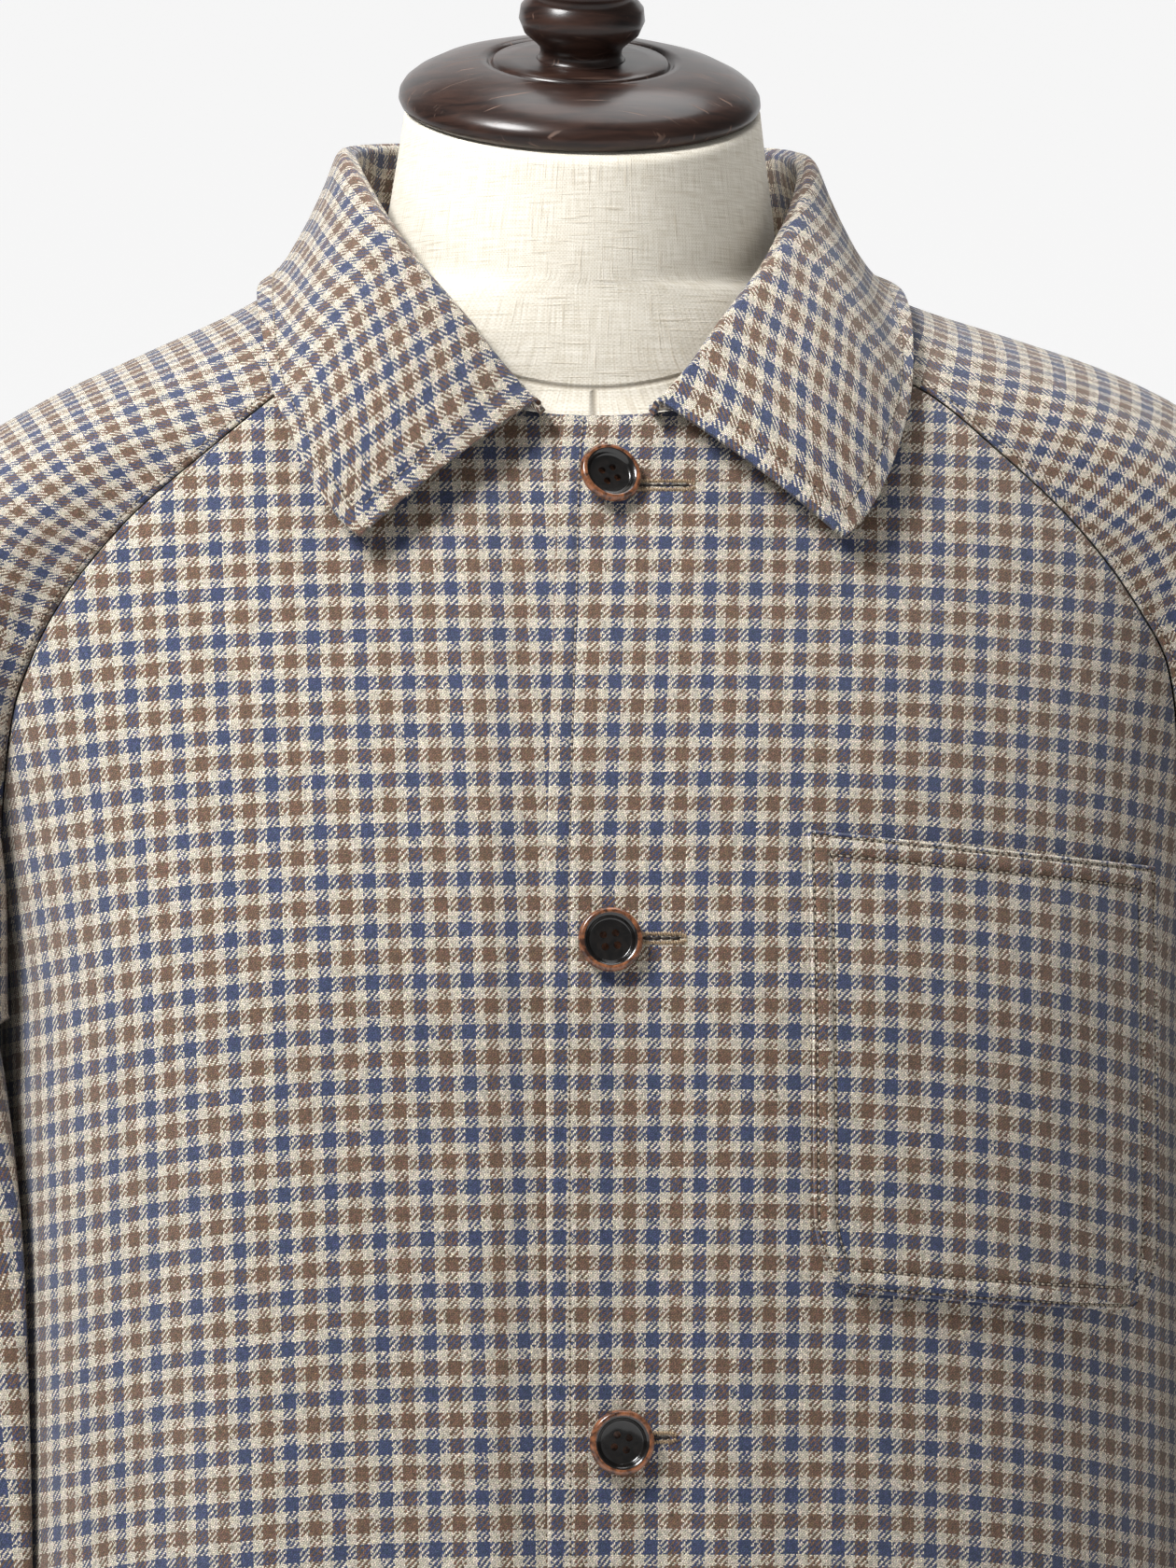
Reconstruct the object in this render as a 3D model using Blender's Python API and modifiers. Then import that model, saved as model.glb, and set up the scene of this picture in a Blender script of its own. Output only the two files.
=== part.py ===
"""A checked jacket with raglan sleeves, shown on a limbless dress form with a wooden neck cap and stand.

Run it with: blender --background --python part.py
Metres, +Z up. The front faces -Y and +X is the wearer's left. The floor is z = 0, under the pole's axis.
"""

import math

import bmesh
import bpy
import numpy as np
from mathutils import Matrix, Vector
from mathutils.bvhtree import BVHTree

# Cloth
CLOTH = 0.0015
COLLAR_CLOTH = 0.0022
SEAM_GAP = 0.0003

# Heights of the jacket
HEM_Z = 0.800
UNDERARM_Z = 1.240
FRONT_NECK_Z = 1.430
BACK_NECK_Z = 1.497
CUFF_Z = 0.815

# Front opening: the left front laps over the right one, which is set back under it
UNDERLAP_X = 0.0155
UNDERLAP_STEP = CLOTH + 2 * SEAM_GAP
UNDERLAP_END_X = 0.0245
UNDERLAP_FADE_X = 0.040

# Neckline ends of the two raglan seams, on each side, and how far a sleeve's edge stands off its panel's
FRONT_RAGLAN_TOP_Z = 1.452
BACK_RAGLAN_TOP_Z = 1.487
RAGLAN_EASE = 0.0011

# The side seams open a little more as they near the underarm, from this height up
SIDE_SEAM_EASE = 0.0008
SIDE_EASE_FROM_Z = 1.120

# How far each shoulder line rises for a metre outwards over the table's
SHOULDER_TILT_LEFT = 0.085
SHOULDER_TILT_RIGHT = -0.055

# Buttons
BUTTON_R = 0.010
BUTTON_COLUMNS = ("x", "z", "turn_deg")
BUTTONS = (
    (0.0029, 1.4095, 16.0),
    (-0.0003, 1.2660, 0.0),
    (0.0021, 1.1140, 0.0),
    (0.0010, 0.9620, 0.0),
)

# Chest pocket on the wearer's left
POCKET_INNER_X = 0.061
POCKET_OUTER_X = 0.1765
POCKET_TOP_Z = 1.300
POCKET_DEPTH = 0.140
POCKET_SLANT = 0.105
POCKET_CORNER_WIDE = 0.015
POCKET_CORNER_HIGH = 0.024
POCKET_STAND_OFF = 0.0008

# Dress form and stand
CAP_TILT_DEG = 16.5
CAP_CENTRE = (-0.0012, -0.0270, 1.5285)
FORM_BOTTOM_Z = 0.700
POLE_R = 0.0150

# How finely each surface is divided
FRONT_COLUMNS = 11
BACK_HALF_COLUMNS = 10
LOWER_ROWS = 12
UPPER_ROWS = 15
SLEEVE_COLUMNS = 18
ARM_STATIONS = 12
COLLAR_HALF_STATIONS = 18
POCKET_COLUMNS = 10
POCKET_ROWS = 6
FORM_SEGMENTS = 28
SHARP_DEG = 35

# Rings round the jacket's body, from the hem up. Above the underarm they run on inside the sleeves.
BODY_COLUMNS = ("z", "half_left", "half_right", "front", "back", "fullness")
BODY = (
    (0.800, 0.207, 0.200, 0.152, 0.129, 2.80),
    (0.950, 0.203, 0.194, 0.150, 0.124, 2.90),
    (1.110, 0.201, 0.190, 0.147, 0.126, 3.00),
    (1.240, 0.200, 0.189, 0.139, 0.131, 3.00),
    (1.300, 0.204, 0.197, 0.128, 0.130, 2.70),
    (1.342, 0.209, 0.206, 0.116, 0.126, 2.50),
    (1.385, 0.214, 0.213, 0.099, 0.119, 2.35),
    (1.413, 0.205, 0.204, 0.0865, 0.112, 2.30),
    (1.430, 0.190, 0.189, 0.078, 0.105, 2.30),
    (1.446, 0.160, 0.159, 0.070, 0.097, 2.30),
    (1.456, 0.137, 0.136, 0.0645, 0.091, 2.30),
    (1.470, 0.110, 0.110, 0.058, 0.082, 2.30),
    (1.487, 0.088, 0.088, 0.052, 0.072, 2.30),
    (1.500, 0.080, 0.080, 0.048, 0.065, 2.30),
)

# The placket edge of the left front, from the hem up.
PLACKET_COLUMNS = ("z", "x")
PLACKET = (
    (0.8000, -0.0198),
    (1.1500, -0.0203),
    (1.2680, -0.0198),
    (1.3200, -0.0180),
    (1.3780, -0.0148),
    (1.4130, -0.0128),
    (1.4300, -0.0108),
)

# The raglan seams, from the underarm up to the neckline: how far from the centre at each height.
RAGLAN_COLUMNS = ("z", "front_left_x", "front_right_x", "back_x")
RAGLAN = (
    (1.3000, 0.1900, 0.1870, 0.1830),
    (1.3350, 0.1885, 0.1835, 0.1760),
    (1.3520, 0.1855, 0.1780, 0.1715),
    (1.3694, 0.1755, 0.1693, 0.1655),
    (1.3958, 0.1550, 0.1485, 0.1510),
    (1.4226, 0.1270, 0.1180, 0.1310),
    (1.4365, 0.1110, 0.1011, 0.1180),
    (1.4520, 0.0860, 0.0800, 0.1020),
    (1.4700, 0.0700, 0.0700, 0.0820),
    (1.4870, 0.0650, 0.0650, 0.0610),
)

# Sleeve cap. share is the way down the two raglan seams, from the neckline to the underarm. The ridge is
# the shoulder line over them, and depth half the section's depth from front to back.
CAP_COLUMNS = ("share", "ridge_x", "ridge_z", "depth")
CAP = (
    (0.000, 0.0830, 1.4830, 0.050),
    (0.070, 0.1150, 1.4660, 0.058),
    (0.127, 0.1460, 1.4540, 0.064),
    (0.182, 0.1720, 1.4435, 0.070),
    (0.243, 0.1960, 1.4305, 0.074),
    (0.314, 0.2170, 1.4130, 0.076),
    (0.410, 0.2330, 1.3880, 0.077),
    (0.538, 0.2450, 1.3540, 0.077),
    (0.740, 0.2540, 1.3020, 0.076),
    (1.000, 0.2590, 1.2400, 0.075),
)

# Sleeve below the underarm: clearance from the body, then the centre, half thickness and half depth of each
# ring, and how far its front end leans in round the body's front corner, on each side.
ARM_COLUMNS = ("z", "clear", "left_x", "right_x", "centre_y", "thick", "depth", "lean_left", "lean_right")
ARM = (
    (0.815, 0.0050, 0.2330, 0.2205, -0.0450, 0.0250, 0.0560, 14.0, 38.0),
    (0.900, 0.0050, 0.2350, 0.2195, -0.0390, 0.0270, 0.0620, 15.0, 39.0),
    (1.030, 0.0045, 0.2355, 0.2180, -0.0280, 0.0290, 0.0690, 14.0, 39.0),
    (1.150, 0.0045, 0.2345, 0.2205, -0.0140, 0.0300, 0.0735, 11.0, 34.0),
    (1.215, 0.0035, 0.2315, 0.2265, -0.0030, 0.0298, 0.0748, 8.0, 26.0),
    (1.240, 0.0020, 0.2305, 0.2295, 0.0000, 0.0295, 0.0750, 7.0, 22.0),
)
ARM_SOFTNESS = 0.004

# A sleeve's section is an ellipse with its sides pressed flatter by this power. The cap's sections close into
# it from one share of the way down, and start to lean from another.
SECTION_POWER = 0.86
CAP_CLOSES_FROM = 0.50
CAP_LEANS_FROM = 0.25
CAP_FORWARD_PULL = 0.003

# Soft folds of the body. side is +1 on the wearer's left, face is -1 in front. A negative depth is a trough.
# Each fold has its full depth once it has run most of its length down.
FOLD_GROWTH = 1.4
FOLD_COLUMNS = ("side", "face", "x_top", "x_low", "z_top", "z_low", "width", "depth")
BODY_FOLDS = (
    (-1, -1, 0.140, 0.142, 1.300, 0.800, 0.026, -0.0060),
    (-1, -1, 0.170, 0.174, 1.280, 0.800, 0.022, 0.0040),
    (-1, -1, 0.070, 0.086, 1.200, 0.780, 0.034, -0.0035),
    (1, -1, 0.085, 0.110, 1.130, 0.780, 0.036, -0.0045),
    (1, -1, 0.160, 0.165, 1.130, 0.780, 0.030, 0.0045),
    (1, -1, 0.040, 0.052, 1.000, 0.780, 0.026, 0.0025),
    (1, 1, 0.120, 0.128, 1.290, 0.790, 0.030, -0.0075),
    (-1, 1, 0.112, 0.122, 1.270, 0.790, 0.032, -0.0070),
    (1, 1, 0.160, 0.166, 1.250, 0.790, 0.026, 0.0045),
    (-1, 1, 0.156, 0.164, 1.240, 0.790, 0.026, 0.0050),
    (1, 1, 0.045, 0.060, 1.120, 0.780, 0.034, 0.0040),
    (-1, 1, 0.040, 0.052, 1.060, 0.780, 0.034, 0.0035),
)

# Soft folds of the sleeves. at is the height of the fold's middle, turn the angle round the sleeve from its
# inner side by way of the front, lean how far the fold turns for each metre down.
SLEEVE_FOLD_COLUMNS = ("side", "at", "turn_deg", "lean_deg", "reach", "width_deg", "depth")
SLEEVE_FOLDS = (
    (1, 1.12, 112, 60, 0.34, 26, -0.0055),
    (1, 0.98, 150, -120, 0.22, 24, -0.0045),
    (1, 1.02, 250, 80, 0.30, 28, -0.0055),
    (1, 0.90, 75, 150, 0.16, 26, 0.0040),
    (-1, 1.14, 108, 75, 0.32, 26, -0.0055),
    (-1, 1.00, 155, -100, 0.24, 24, -0.0045),
    (-1, 1.04, 245, 60, 0.30, 28, -0.0060),
    (-1, 0.88, 80, 130, 0.15, 26, 0.0040),
)

# Half of the collar, from its front end to the centre back: the roll line at the top of the stand,
# and the free edge of the leaf, whose first row is the collar point.
COLLAR_COLUMNS = ("share", "roll_x", "roll_y", "roll_z", "edge_x", "edge_y", "edge_z", "bow")
COLLAR = (
    (0.00, 0.0170, -0.0830, 1.4335, 0.0755, -0.0990, 1.3910, 0.0020),
    (0.06, 0.0270, -0.0810, 1.4435, 0.0800, -0.0975, 1.3945, 0.0035),
    (0.13, 0.0395, -0.0745, 1.4600, 0.0860, -0.0945, 1.4025, 0.0045),
    (0.25, 0.0570, -0.0590, 1.4820, 0.0945, -0.0850, 1.4200, 0.0040),
    (0.38, 0.0675, -0.0370, 1.5010, 0.1015, -0.0620, 1.4430, 0.0010),
    (0.52, 0.0725, -0.0060, 1.5165, 0.1030, -0.0160, 1.4680, -0.0030),
    (0.64, 0.0715, 0.0270, 1.5225, 0.0990, 0.0300, 1.4780, -0.0020),
    (0.77, 0.0590, 0.0560, 1.5270, 0.0820, 0.0720, 1.4830, 0.0000),
    (0.89, 0.0330, 0.0750, 1.5295, 0.0450, 0.0970, 1.4860, 0.0010),
    (1.00, 0.0000, 0.0810, 1.5305, 0.0000, 0.1050, 1.4870, 0.0010),
)
COLLAR_ROLL_R = 0.0030
COLLAR_CLEARANCE = 0.0024
COLLAR_STAND_MIN = 0.0060
COLLAR_SPACING_POWER = 1.15

# Rings of the dress form's body, from its bottom board to the shoulders.
FORM_COLUMNS = ("z", "half", "front", "back", "fullness")
FORM = (
    (0.700, 0.1580, 0.1060, 0.1000, 2.4),
    (0.780, 0.1630, 0.1110, 0.1050, 2.4),
    (0.950, 0.1500, 0.1000, 0.0980, 2.4),
    (1.100, 0.1560, 0.1150, 0.1070, 2.4),
    (1.200, 0.1660, 0.1250, 0.1180, 2.5),
    (1.290, 0.1750, 0.1230, 0.1225, 2.5),
    (1.342, 0.1850, 0.1100, 0.1190, 2.3),
    (1.385, 0.1930, 0.0945, 0.1120, 2.1),
    (1.410, 0.1920, 0.0825, 0.1040, 1.9),
    (1.425, 0.1820, 0.0750, 0.0970, 1.75),
    (1.437, 0.1600, 0.0700, 0.0900, 1.65),
    (1.448, 0.1300, 0.0680, 0.0810, 1.65),
    (1.458, 0.1030, 0.0690, 0.0710, 1.8),
    (1.470, 0.0800, 0.0690, 0.0610, 2.0),
)

# Rings of the neck, which lean forward: each is round and tilted as the wooden cap is.
NECK_COLUMNS = ("z", "centre_y", "radius", "tilt_share")
NECK = (
    (1.482, -0.0080, 0.0655, 0.35),
    (1.497, -0.0140, 0.0625, 0.60),
    (1.512, -0.0205, 0.0600, 0.85),
    (1.5283, -0.0269, 0.0572, 1.00),
)

# Turned profiles, from the centre of the top outwards and down to the centre of the foot.
PROFILE_COLUMNS = ("radius", "height")
NECK_CAP_PROFILE = (
    (0.0000, 0.0220),
    (0.0220, 0.0215),
    (0.0292, 0.0203),
    (0.0305, 0.0192),
    (0.0318, 0.0198),
    (0.0350, 0.0186),
    (0.0440, 0.0142),
    (0.0520, 0.0104),
    (0.0562, 0.0080),
    (0.0580, 0.0058),
    (0.0584, 0.0030),
    (0.0576, 0.0010),
    (0.0560, 0.0003),
    (0.0000, 0.0003),
)
FINIAL_PROFILE = (
    (0.0000, 0.0742),
    (0.0060, 0.0735),
    (0.0125, 0.0700),
    (0.0150, 0.0640),
    (0.0135, 0.0580),
    (0.0095, 0.0520),
    (0.0105, 0.0472),
    (0.0160, 0.0450),
    (0.0188, 0.0428),
    (0.0186, 0.0402),
    (0.0170, 0.0382),
    (0.0178, 0.0370),
    (0.0198, 0.0345),
    (0.0203, 0.0305),
    (0.0185, 0.0262),
    (0.0150, 0.0232),
    (0.0140, 0.0223),
    (0.0000, 0.0223),
)
BUTTON_PROFILE = (
    (0.0000, 0.0022),
    (0.0055, 0.0022),
    (0.0070, 0.0026),
    (0.0078, 0.0038),
    (0.0088, 0.0042),
    (0.0097, 0.0036),
    (0.0100, 0.0026),
    (0.0092, 0.0014),
    (0.0070, 0.0006),
    (0.0000, 0.0006),
)
BOARD_PROFILE = (
    (0.0000, -0.0003),
    (0.0930, -0.0003),
    (0.0960, -0.0040),
    (0.0960, -0.0110),
    (0.0900, -0.0140),
    (0.0000, -0.0140),
)
BASE_PROFILE = (
    (0.0000, 0.0460),
    (0.0300, 0.0460),
    (0.0320, 0.0440),
    (0.0400, 0.0360),
    (0.0560, 0.0320),
    (0.0620, 0.0290),
    (0.1500, 0.0230),
    (0.1960, 0.0180),
    (0.2000, 0.0130),
    (0.2000, 0.0040),
    (0.1960, 0.0000),
    (0.0000, 0.0000),
)


def clear_scene():
    for thing in list(bpy.data.objects):
        bpy.data.objects.remove(thing, do_unlink=True)


def column(table, columns, name):
    return np.array([row[columns.index(name)] for row in table], float)


def through(keys, values, at):
    """The value at one key of a smooth curve through a table's rows, which doesn't overshoot them."""
    steps = np.diff(keys)
    rises = np.diff(values) / steps
    slopes = np.zeros(len(keys))
    slopes[0], slopes[-1] = rises[0], rises[-1]
    before, after = rises[:-1], rises[1:]
    same_way = before * after > 0
    total = np.where(same_way, before + after, 1.0)
    slopes[1:-1] = np.where(same_way, 2 * before * after / total, 0.0)
    at = min(max(at, keys[0]), keys[-1])
    i = min(max(int(np.searchsorted(keys, at)) - 1, 0), len(steps) - 1)
    t = (at - keys[i]) / steps[i]
    rise = values[i + 1] - values[i]
    start, end = slopes[i] * steps[i], slopes[i + 1] * steps[i]
    return values[i] + t * (start + t * (3 * rise - 2 * start - end + t * (start + end - 2 * rise)))


def row_at(table, columns, at):
    """Every column of a table, read at one value of its first column."""
    keys = column(table, columns, columns[0])
    return {name: through(keys, column(table, columns, name), at) for name in columns}


def ease(value):
    value = min(max(value, 0.0), 1.0)
    return value * value * (3 - 2 * value)


def smooth_hump(offset, width):
    """1 at the middle of a fold, falling smoothly to 0 at its two sides."""
    return math.cos(math.pi / 2 * min(abs(offset) / width, 1.0)) ** 2


def signed_power(value, power):
    return math.copysign(abs(value) ** power, value)


def fold_depth(side, face, x, z):
    """How far the body's cloth stands out of its plain ring at a place."""
    depth = 0.0
    for row in BODY_FOLDS:
        fold = dict(zip(FOLD_COLUMNS, row))
        if fold["side"] != side or fold["face"] != face:
            continue
        down = (fold["z_top"] - z) / (fold["z_top"] - fold["z_low"])
        middle = fold["x_top"] + (fold["x_low"] - fold["x_top"]) * min(max(down, 0.0), 1.0)
        depth += fold["depth"] * smooth_hump(x - middle, fold["width"]) * ease(down * FOLD_GROWTH)
    return depth


def body_ring(side, z):
    ring = row_at(BODY, BODY_COLUMNS, z)
    ring["half"] = ring["half_left"] if side > 0 else ring["half_right"]
    return ring


def body_point(side, face, angle, z):
    """A point of the body's outer surface. angle is 0 at the centre line and a right angle at the side."""
    ring = body_ring(side, z)
    reach = ring["front"] if face < 0 else ring["back"]
    x = ring["half"] * signed_power(math.sin(angle), 2 / ring["fullness"])
    y = face * reach * math.cos(angle)
    outward = Vector((side * x / ring["half"] ** 2, y / reach**2, 0.0)).normalized()
    lift = fold_depth(side, face, x, z)
    if side < 0 and face < 0:
        under = ease((UNDERLAP_FADE_X - x) / (UNDERLAP_FADE_X - UNDERLAP_END_X))
        lift -= UNDERLAP_STEP * under
    return Vector((side * x, y, z)) + outward * lift


def angle_of(side, x, z):
    ring = body_ring(side, z)
    share = min(abs(x) / ring["half"], 1.0) ** (ring["fullness"] / 2)
    return math.copysign(math.asin(share), x)


def raglan_x(side, face, z):
    """How far out the raglan seam is at a height. At the underarm it reaches the body's side."""
    name = "back_x" if face > 0 else "front_left_x" if side > 0 else "front_right_x"
    heights = np.append([UNDERARM_Z], column(RAGLAN, RAGLAN_COLUMNS, "z"))
    reaches = np.append([body_ring(side, UNDERARM_Z)["half"]], column(RAGLAN, RAGLAN_COLUMNS, name))
    return through(heights, reaches, z)


def lifted_point(side, face, x, z, lift):
    """A point above the body's outer surface, straight out from it."""
    step = 0.002
    here = body_point(side, face, angle_of(side, x, z), z)
    across = body_point(side, face, angle_of(side, x + step, z), z) - here
    up = body_point(side, face, angle_of(side, x, z + step), z + step) - here
    return here + (across.cross(up) * (side * -face)).normalized() * lift


def raglan_point(side, face, z):
    return body_point(side, face, angle_of(side, raglan_x(side, face, z), z), z)


def row_heights(face):
    """Pairs of heights, at the centre and at the outer edge, of a panel's rows from the hem to the neckline."""
    centre_top = FRONT_NECK_Z if face < 0 else BACK_NECK_Z
    outer_top = FRONT_RAGLAN_TOP_Z if face < 0 else BACK_RAGLAN_TOP_Z
    low = [(z, z) for z in np.linspace(HEM_Z, UNDERARM_Z, LOWER_ROWS + 1)[:-1]]
    centres = np.linspace(UNDERARM_Z, centre_top, UPPER_ROWS + 1)
    outers = np.linspace(UNDERARM_Z, outer_top, UPPER_ROWS + 1)
    return low + list(zip(centres, outers))


def panel_row(side, face, inner_xs, centre_z, outer_z, columns):
    """One row of a front or of half the back: a few set places near the centre line, then evenly outwards."""
    half = body_ring(side, outer_z)["half"]
    outer_x = half if outer_z <= UNDERARM_Z else raglan_x(side, face, outer_z)
    first = math.asin(inner_xs[-1] / half)
    last = math.asin(min(outer_x / half, 1.0))
    turns = [first + (last - first) * i / columns for i in range(columns + 1)]
    xs = list(inner_xs[:-1]) + [half * math.sin(turn) for turn in turns]
    row = []
    for x in xs:
        z = centre_z + (outer_z - centre_z) * (x / outer_x) ** 2
        row.append(body_point(side, face, angle_of(side, x, z), z))
    if outer_z <= UNDERARM_Z:
        near = ease((outer_z - SIDE_EASE_FROM_Z) / (UNDERARM_Z - SIDE_EASE_FROM_Z))
        row[-1].x = side * half
        row[-1].y = face * (SEAM_GAP + SIDE_SEAM_EASE * near)
    return row


def front_row(side, centre_z, outer_z):
    edge_x = row_at(PLACKET, PLACKET_COLUMNS, centre_z)["x"] if side > 0 else -UNDERLAP_X
    inner_xs = (edge_x, 0.0, UNDERLAP_END_X, UNDERLAP_FADE_X)
    return panel_row(side, -1, inner_xs, centre_z, outer_z, FRONT_COLUMNS)


def front_rows(side):
    return [front_row(side, centre_z, outer_z) for centre_z, outer_z in row_heights(-1)]


def back_rows():
    rows = []
    for centre_z, outer_z in row_heights(1):
        left, right = (
            panel_row(side, 1, (0.0,), centre_z, outer_z, BACK_HALF_COLUMNS) for side in (1, -1)
        )
        middle = (left[0] + right[0]) / 2
        rows.append(left[:0:-1] + [middle] + right[1:])
    return rows


def body_side(side, y, z):
    """How far out the body's plain ring is, level with a place beside it."""
    ring = body_ring(side, z)
    share = min(abs(y) / (ring["front"] if y < 0 else ring["back"]), 1.0)
    return ring["half"] * (1 - share**2) ** (1 / ring["fullness"])


def sleeve_fold_depth(side, z, turn):
    depth = 0.0
    for row in SLEEVE_FOLDS:
        fold = dict(zip(SLEEVE_FOLD_COLUMNS, row))
        if fold["side"] != side:
            continue
        middle = fold["turn_deg"] + fold["lean_deg"] * (fold["at"] - z)
        across = smooth_hump(math.degrees(turn) - middle, fold["width_deg"])
        depth += fold["depth"] * across * smooth_hump(z - fold["at"], fold["reach"])
    return depth


def lean_of(side, arm):
    return math.radians(arm["lean_left"] if side > 0 else arm["lean_right"])


def beside_body(side, point, clear):
    """Moves a sleeve's point outwards until it is clear of the body, with a soft start."""
    room = side * point.x - body_side(side, point.y, point.z) - clear
    out = (math.sqrt(room**2 + ARM_SOFTNESS**2) - room) / 2
    return point + Vector((side * out, 0.0, 0.0))


def cap_row(side, share, columns):
    """A section above the underarm, from the front seam over the shoulder ridge to the back seam."""
    cap = row_at(CAP, CAP_COLUMNS, share)
    front = raglan_point(side, -1, FRONT_RAGLAN_TOP_Z + (UNDERARM_Z - FRONT_RAGLAN_TOP_Z) * share)
    back = raglan_point(side, 1, BACK_RAGLAN_TOP_Z + (UNDERARM_Z - BACK_RAGLAN_TOP_Z) * share)
    tilt = SHOULDER_TILT_LEFT if side > 0 else SHOULDER_TILT_RIGHT
    lift = tilt * (cap["ridge_x"] - CAP[0][1]) * (1 - share**2)
    ridge = Vector((side * cap["ridge_x"], 0.0, cap["ridge_z"] + lift))
    closeness = ease((share - CAP_CLOSES_FROM) / (1 - CAP_CLOSES_FROM))
    middle = (front + back) / 2
    half_gap = (front - back).length / 2
    out = (ridge - middle).normalized()
    middle += out * ARM[-1][1] * closeness
    forward = ((front - back) + Vector((0, -CAP_FORWARD_PULL, 0))).normalized()
    depth = max(cap["depth"], half_gap * 1.02)
    power = 1.0 - (1.0 - SECTION_POWER) * closeness
    first = math.asin((half_gap / depth) ** (1 / power))
    reach = (ridge - middle).length / (1 + math.cos(first) ** power)
    centre = middle + out * (reach * math.cos(first) ** power)
    full_lean = lean_of(side, row_at(ARM, ARM_COLUMNS, UNDERARM_Z))
    leaning = ease((share - CAP_LEANS_FROM) / (1 - CAP_LEANS_FROM))
    lean = Matrix.Rotation(-side * full_lean * leaning, 3, "Z")
    row = []
    for i in range(columns + 1):
        turn = first + (2 * math.pi - 2 * first) * i / columns
        across, along = math.cos(turn), math.sin(turn)
        arm = forward * (depth * signed_power(along, power)) - out * (reach * signed_power(across, power))
        point = centre + (lean @ arm)
        if closeness > 0:
            point = point.lerp(beside_body(side, point, ARM[-1][1]), min(closeness * 3, 1.0))
        row.append(point + (lean @ (forward * along - out * across)) * sleeve_fold_depth(side, point.z, turn))
    if half_gap > 0.001:
        row[0] = front + (row[1] - front).normalized() * RAGLAN_EASE
        row[-1] = back + (row[-2] - back).normalized() * RAGLAN_EASE
    return row


def arm_row(side, z, columns):
    """A ring below the underarm, from the inner side by way of the front."""
    arm = row_at(ARM, ARM_COLUMNS, z)
    lean = lean_of(side, arm)
    forward = Vector((-side * math.sin(lean), -math.cos(lean), 0.0))
    out = Vector((side * math.cos(lean), -math.sin(lean), 0.0))
    centre = Vector((side * (arm["left_x"] if side > 0 else arm["right_x"]), arm["centre_y"], z))
    row = []
    for i in range(columns + 1):
        turn = 2 * math.pi * i / columns
        across, along = math.cos(turn), math.sin(turn)
        point = centre + forward * (arm["depth"] * signed_power(along, SECTION_POWER))
        point -= out * (arm["thick"] * signed_power(across, SECTION_POWER))
        point = beside_body(side, point, arm["clear"])
        row.append(point + (forward * along - out * across) * sleeve_fold_depth(side, z, turn))
    return row


def sleeve_rows(side):
    cap = [cap_row(side, share, SLEEVE_COLUMNS) for share in np.linspace(0, 1, UPPER_ROWS + 1)]
    heights = np.linspace(UNDERARM_Z, CUFF_Z, ARM_STATIONS + 1)[1:]
    return cap + [arm_row(side, z, SLEEVE_COLUMNS) for z in heights]


def neckline(side):
    """Half of the jacket's neck edge, from the centre front round to the centre back."""
    front = front_row(side, FRONT_NECK_Z, FRONT_RAGLAN_TOP_Z)[1:]
    over = cap_row(side, 0.0, SLEEVE_COLUMNS)
    back = panel_row(side, 1, (0.0,), BACK_NECK_Z, BACK_RAGLAN_TOP_Z, BACK_HALF_COLUMNS)
    return front + over[1:-1] + back[::-1]


def along_line(points, share):
    """The point at a share of a polyline's length."""
    lengths = [0.0]
    for before, after in zip(points, points[1:]):
        lengths.append(lengths[-1] + (after - before).length)
    goal = share * lengths[-1]
    for i, (before, after) in enumerate(zip(points, points[1:])):
        if goal <= lengths[i + 1] or i == len(points) - 2:
            step = lengths[i + 1] - lengths[i]
            return before.lerp(after, (goal - lengths[i]) / step)
    return points[-1]


def collar_profile(side, share, neck, trees):
    """From the seam at the neckline up the stand, over the roll and down the leaf to its free edge."""
    row = row_at(COLLAR, COLLAR_COLUMNS, share)
    foot = along_line(neck, share) + Vector((0, 0, SEAM_GAP + COLLAR_CLOTH / 2))
    roll = Vector((side * row["roll_x"], row["roll_y"], row["roll_z"]))
    edge = Vector((side * row["edge_x"], row["edge_y"], row["edge_z"]))
    if (roll - foot).length < COLLAR_STAND_MIN:
        foot = roll - Vector((0, 0, COLLAR_STAND_MIN))
    away = Vector((edge.x - roll.x, edge.y - roll.y, 0.0)).normalized()
    top = roll - Vector((0, 0, COLLAR_ROLL_R))
    profile = [foot, foot.lerp(top, 0.5)]
    for turn_deg in (0, 60, 120):
        turn = math.radians(turn_deg)
        rise = Vector((0, 0, COLLAR_ROLL_R * math.sin(turn)))
        profile.append(top + away * (COLLAR_ROLL_R * (1 - math.cos(turn))) + rise)
    start = profile[-1]
    normal = nearest_normal(start.lerp(edge, 0.6), trees)
    for part in (0.2, 0.4, 0.6, 0.8, 1.0):
        bow = row["bow"] * math.sin(math.pi * part)
        profile.append(start.lerp(edge, part) + normal * bow)
    return profile


def nearest_normal(point, trees):
    """Which way the cloth nearest to a point faces."""
    found = [tree.find_nearest(point) for tree in trees]
    return min(found, key=lambda hit: hit[3])[1]


def lift_clear(point, trees, clearance):
    """Moves a point out of the cloth under it until it is clear of it."""
    for tree in trees + trees:
        found, normal, _, _ = tree.find_nearest(point, 0.03)
        if found is None:
            continue
        height = (point - found).dot(normal)
        if height < clearance:
            point = point + normal * (clearance - height)
    return point


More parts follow.
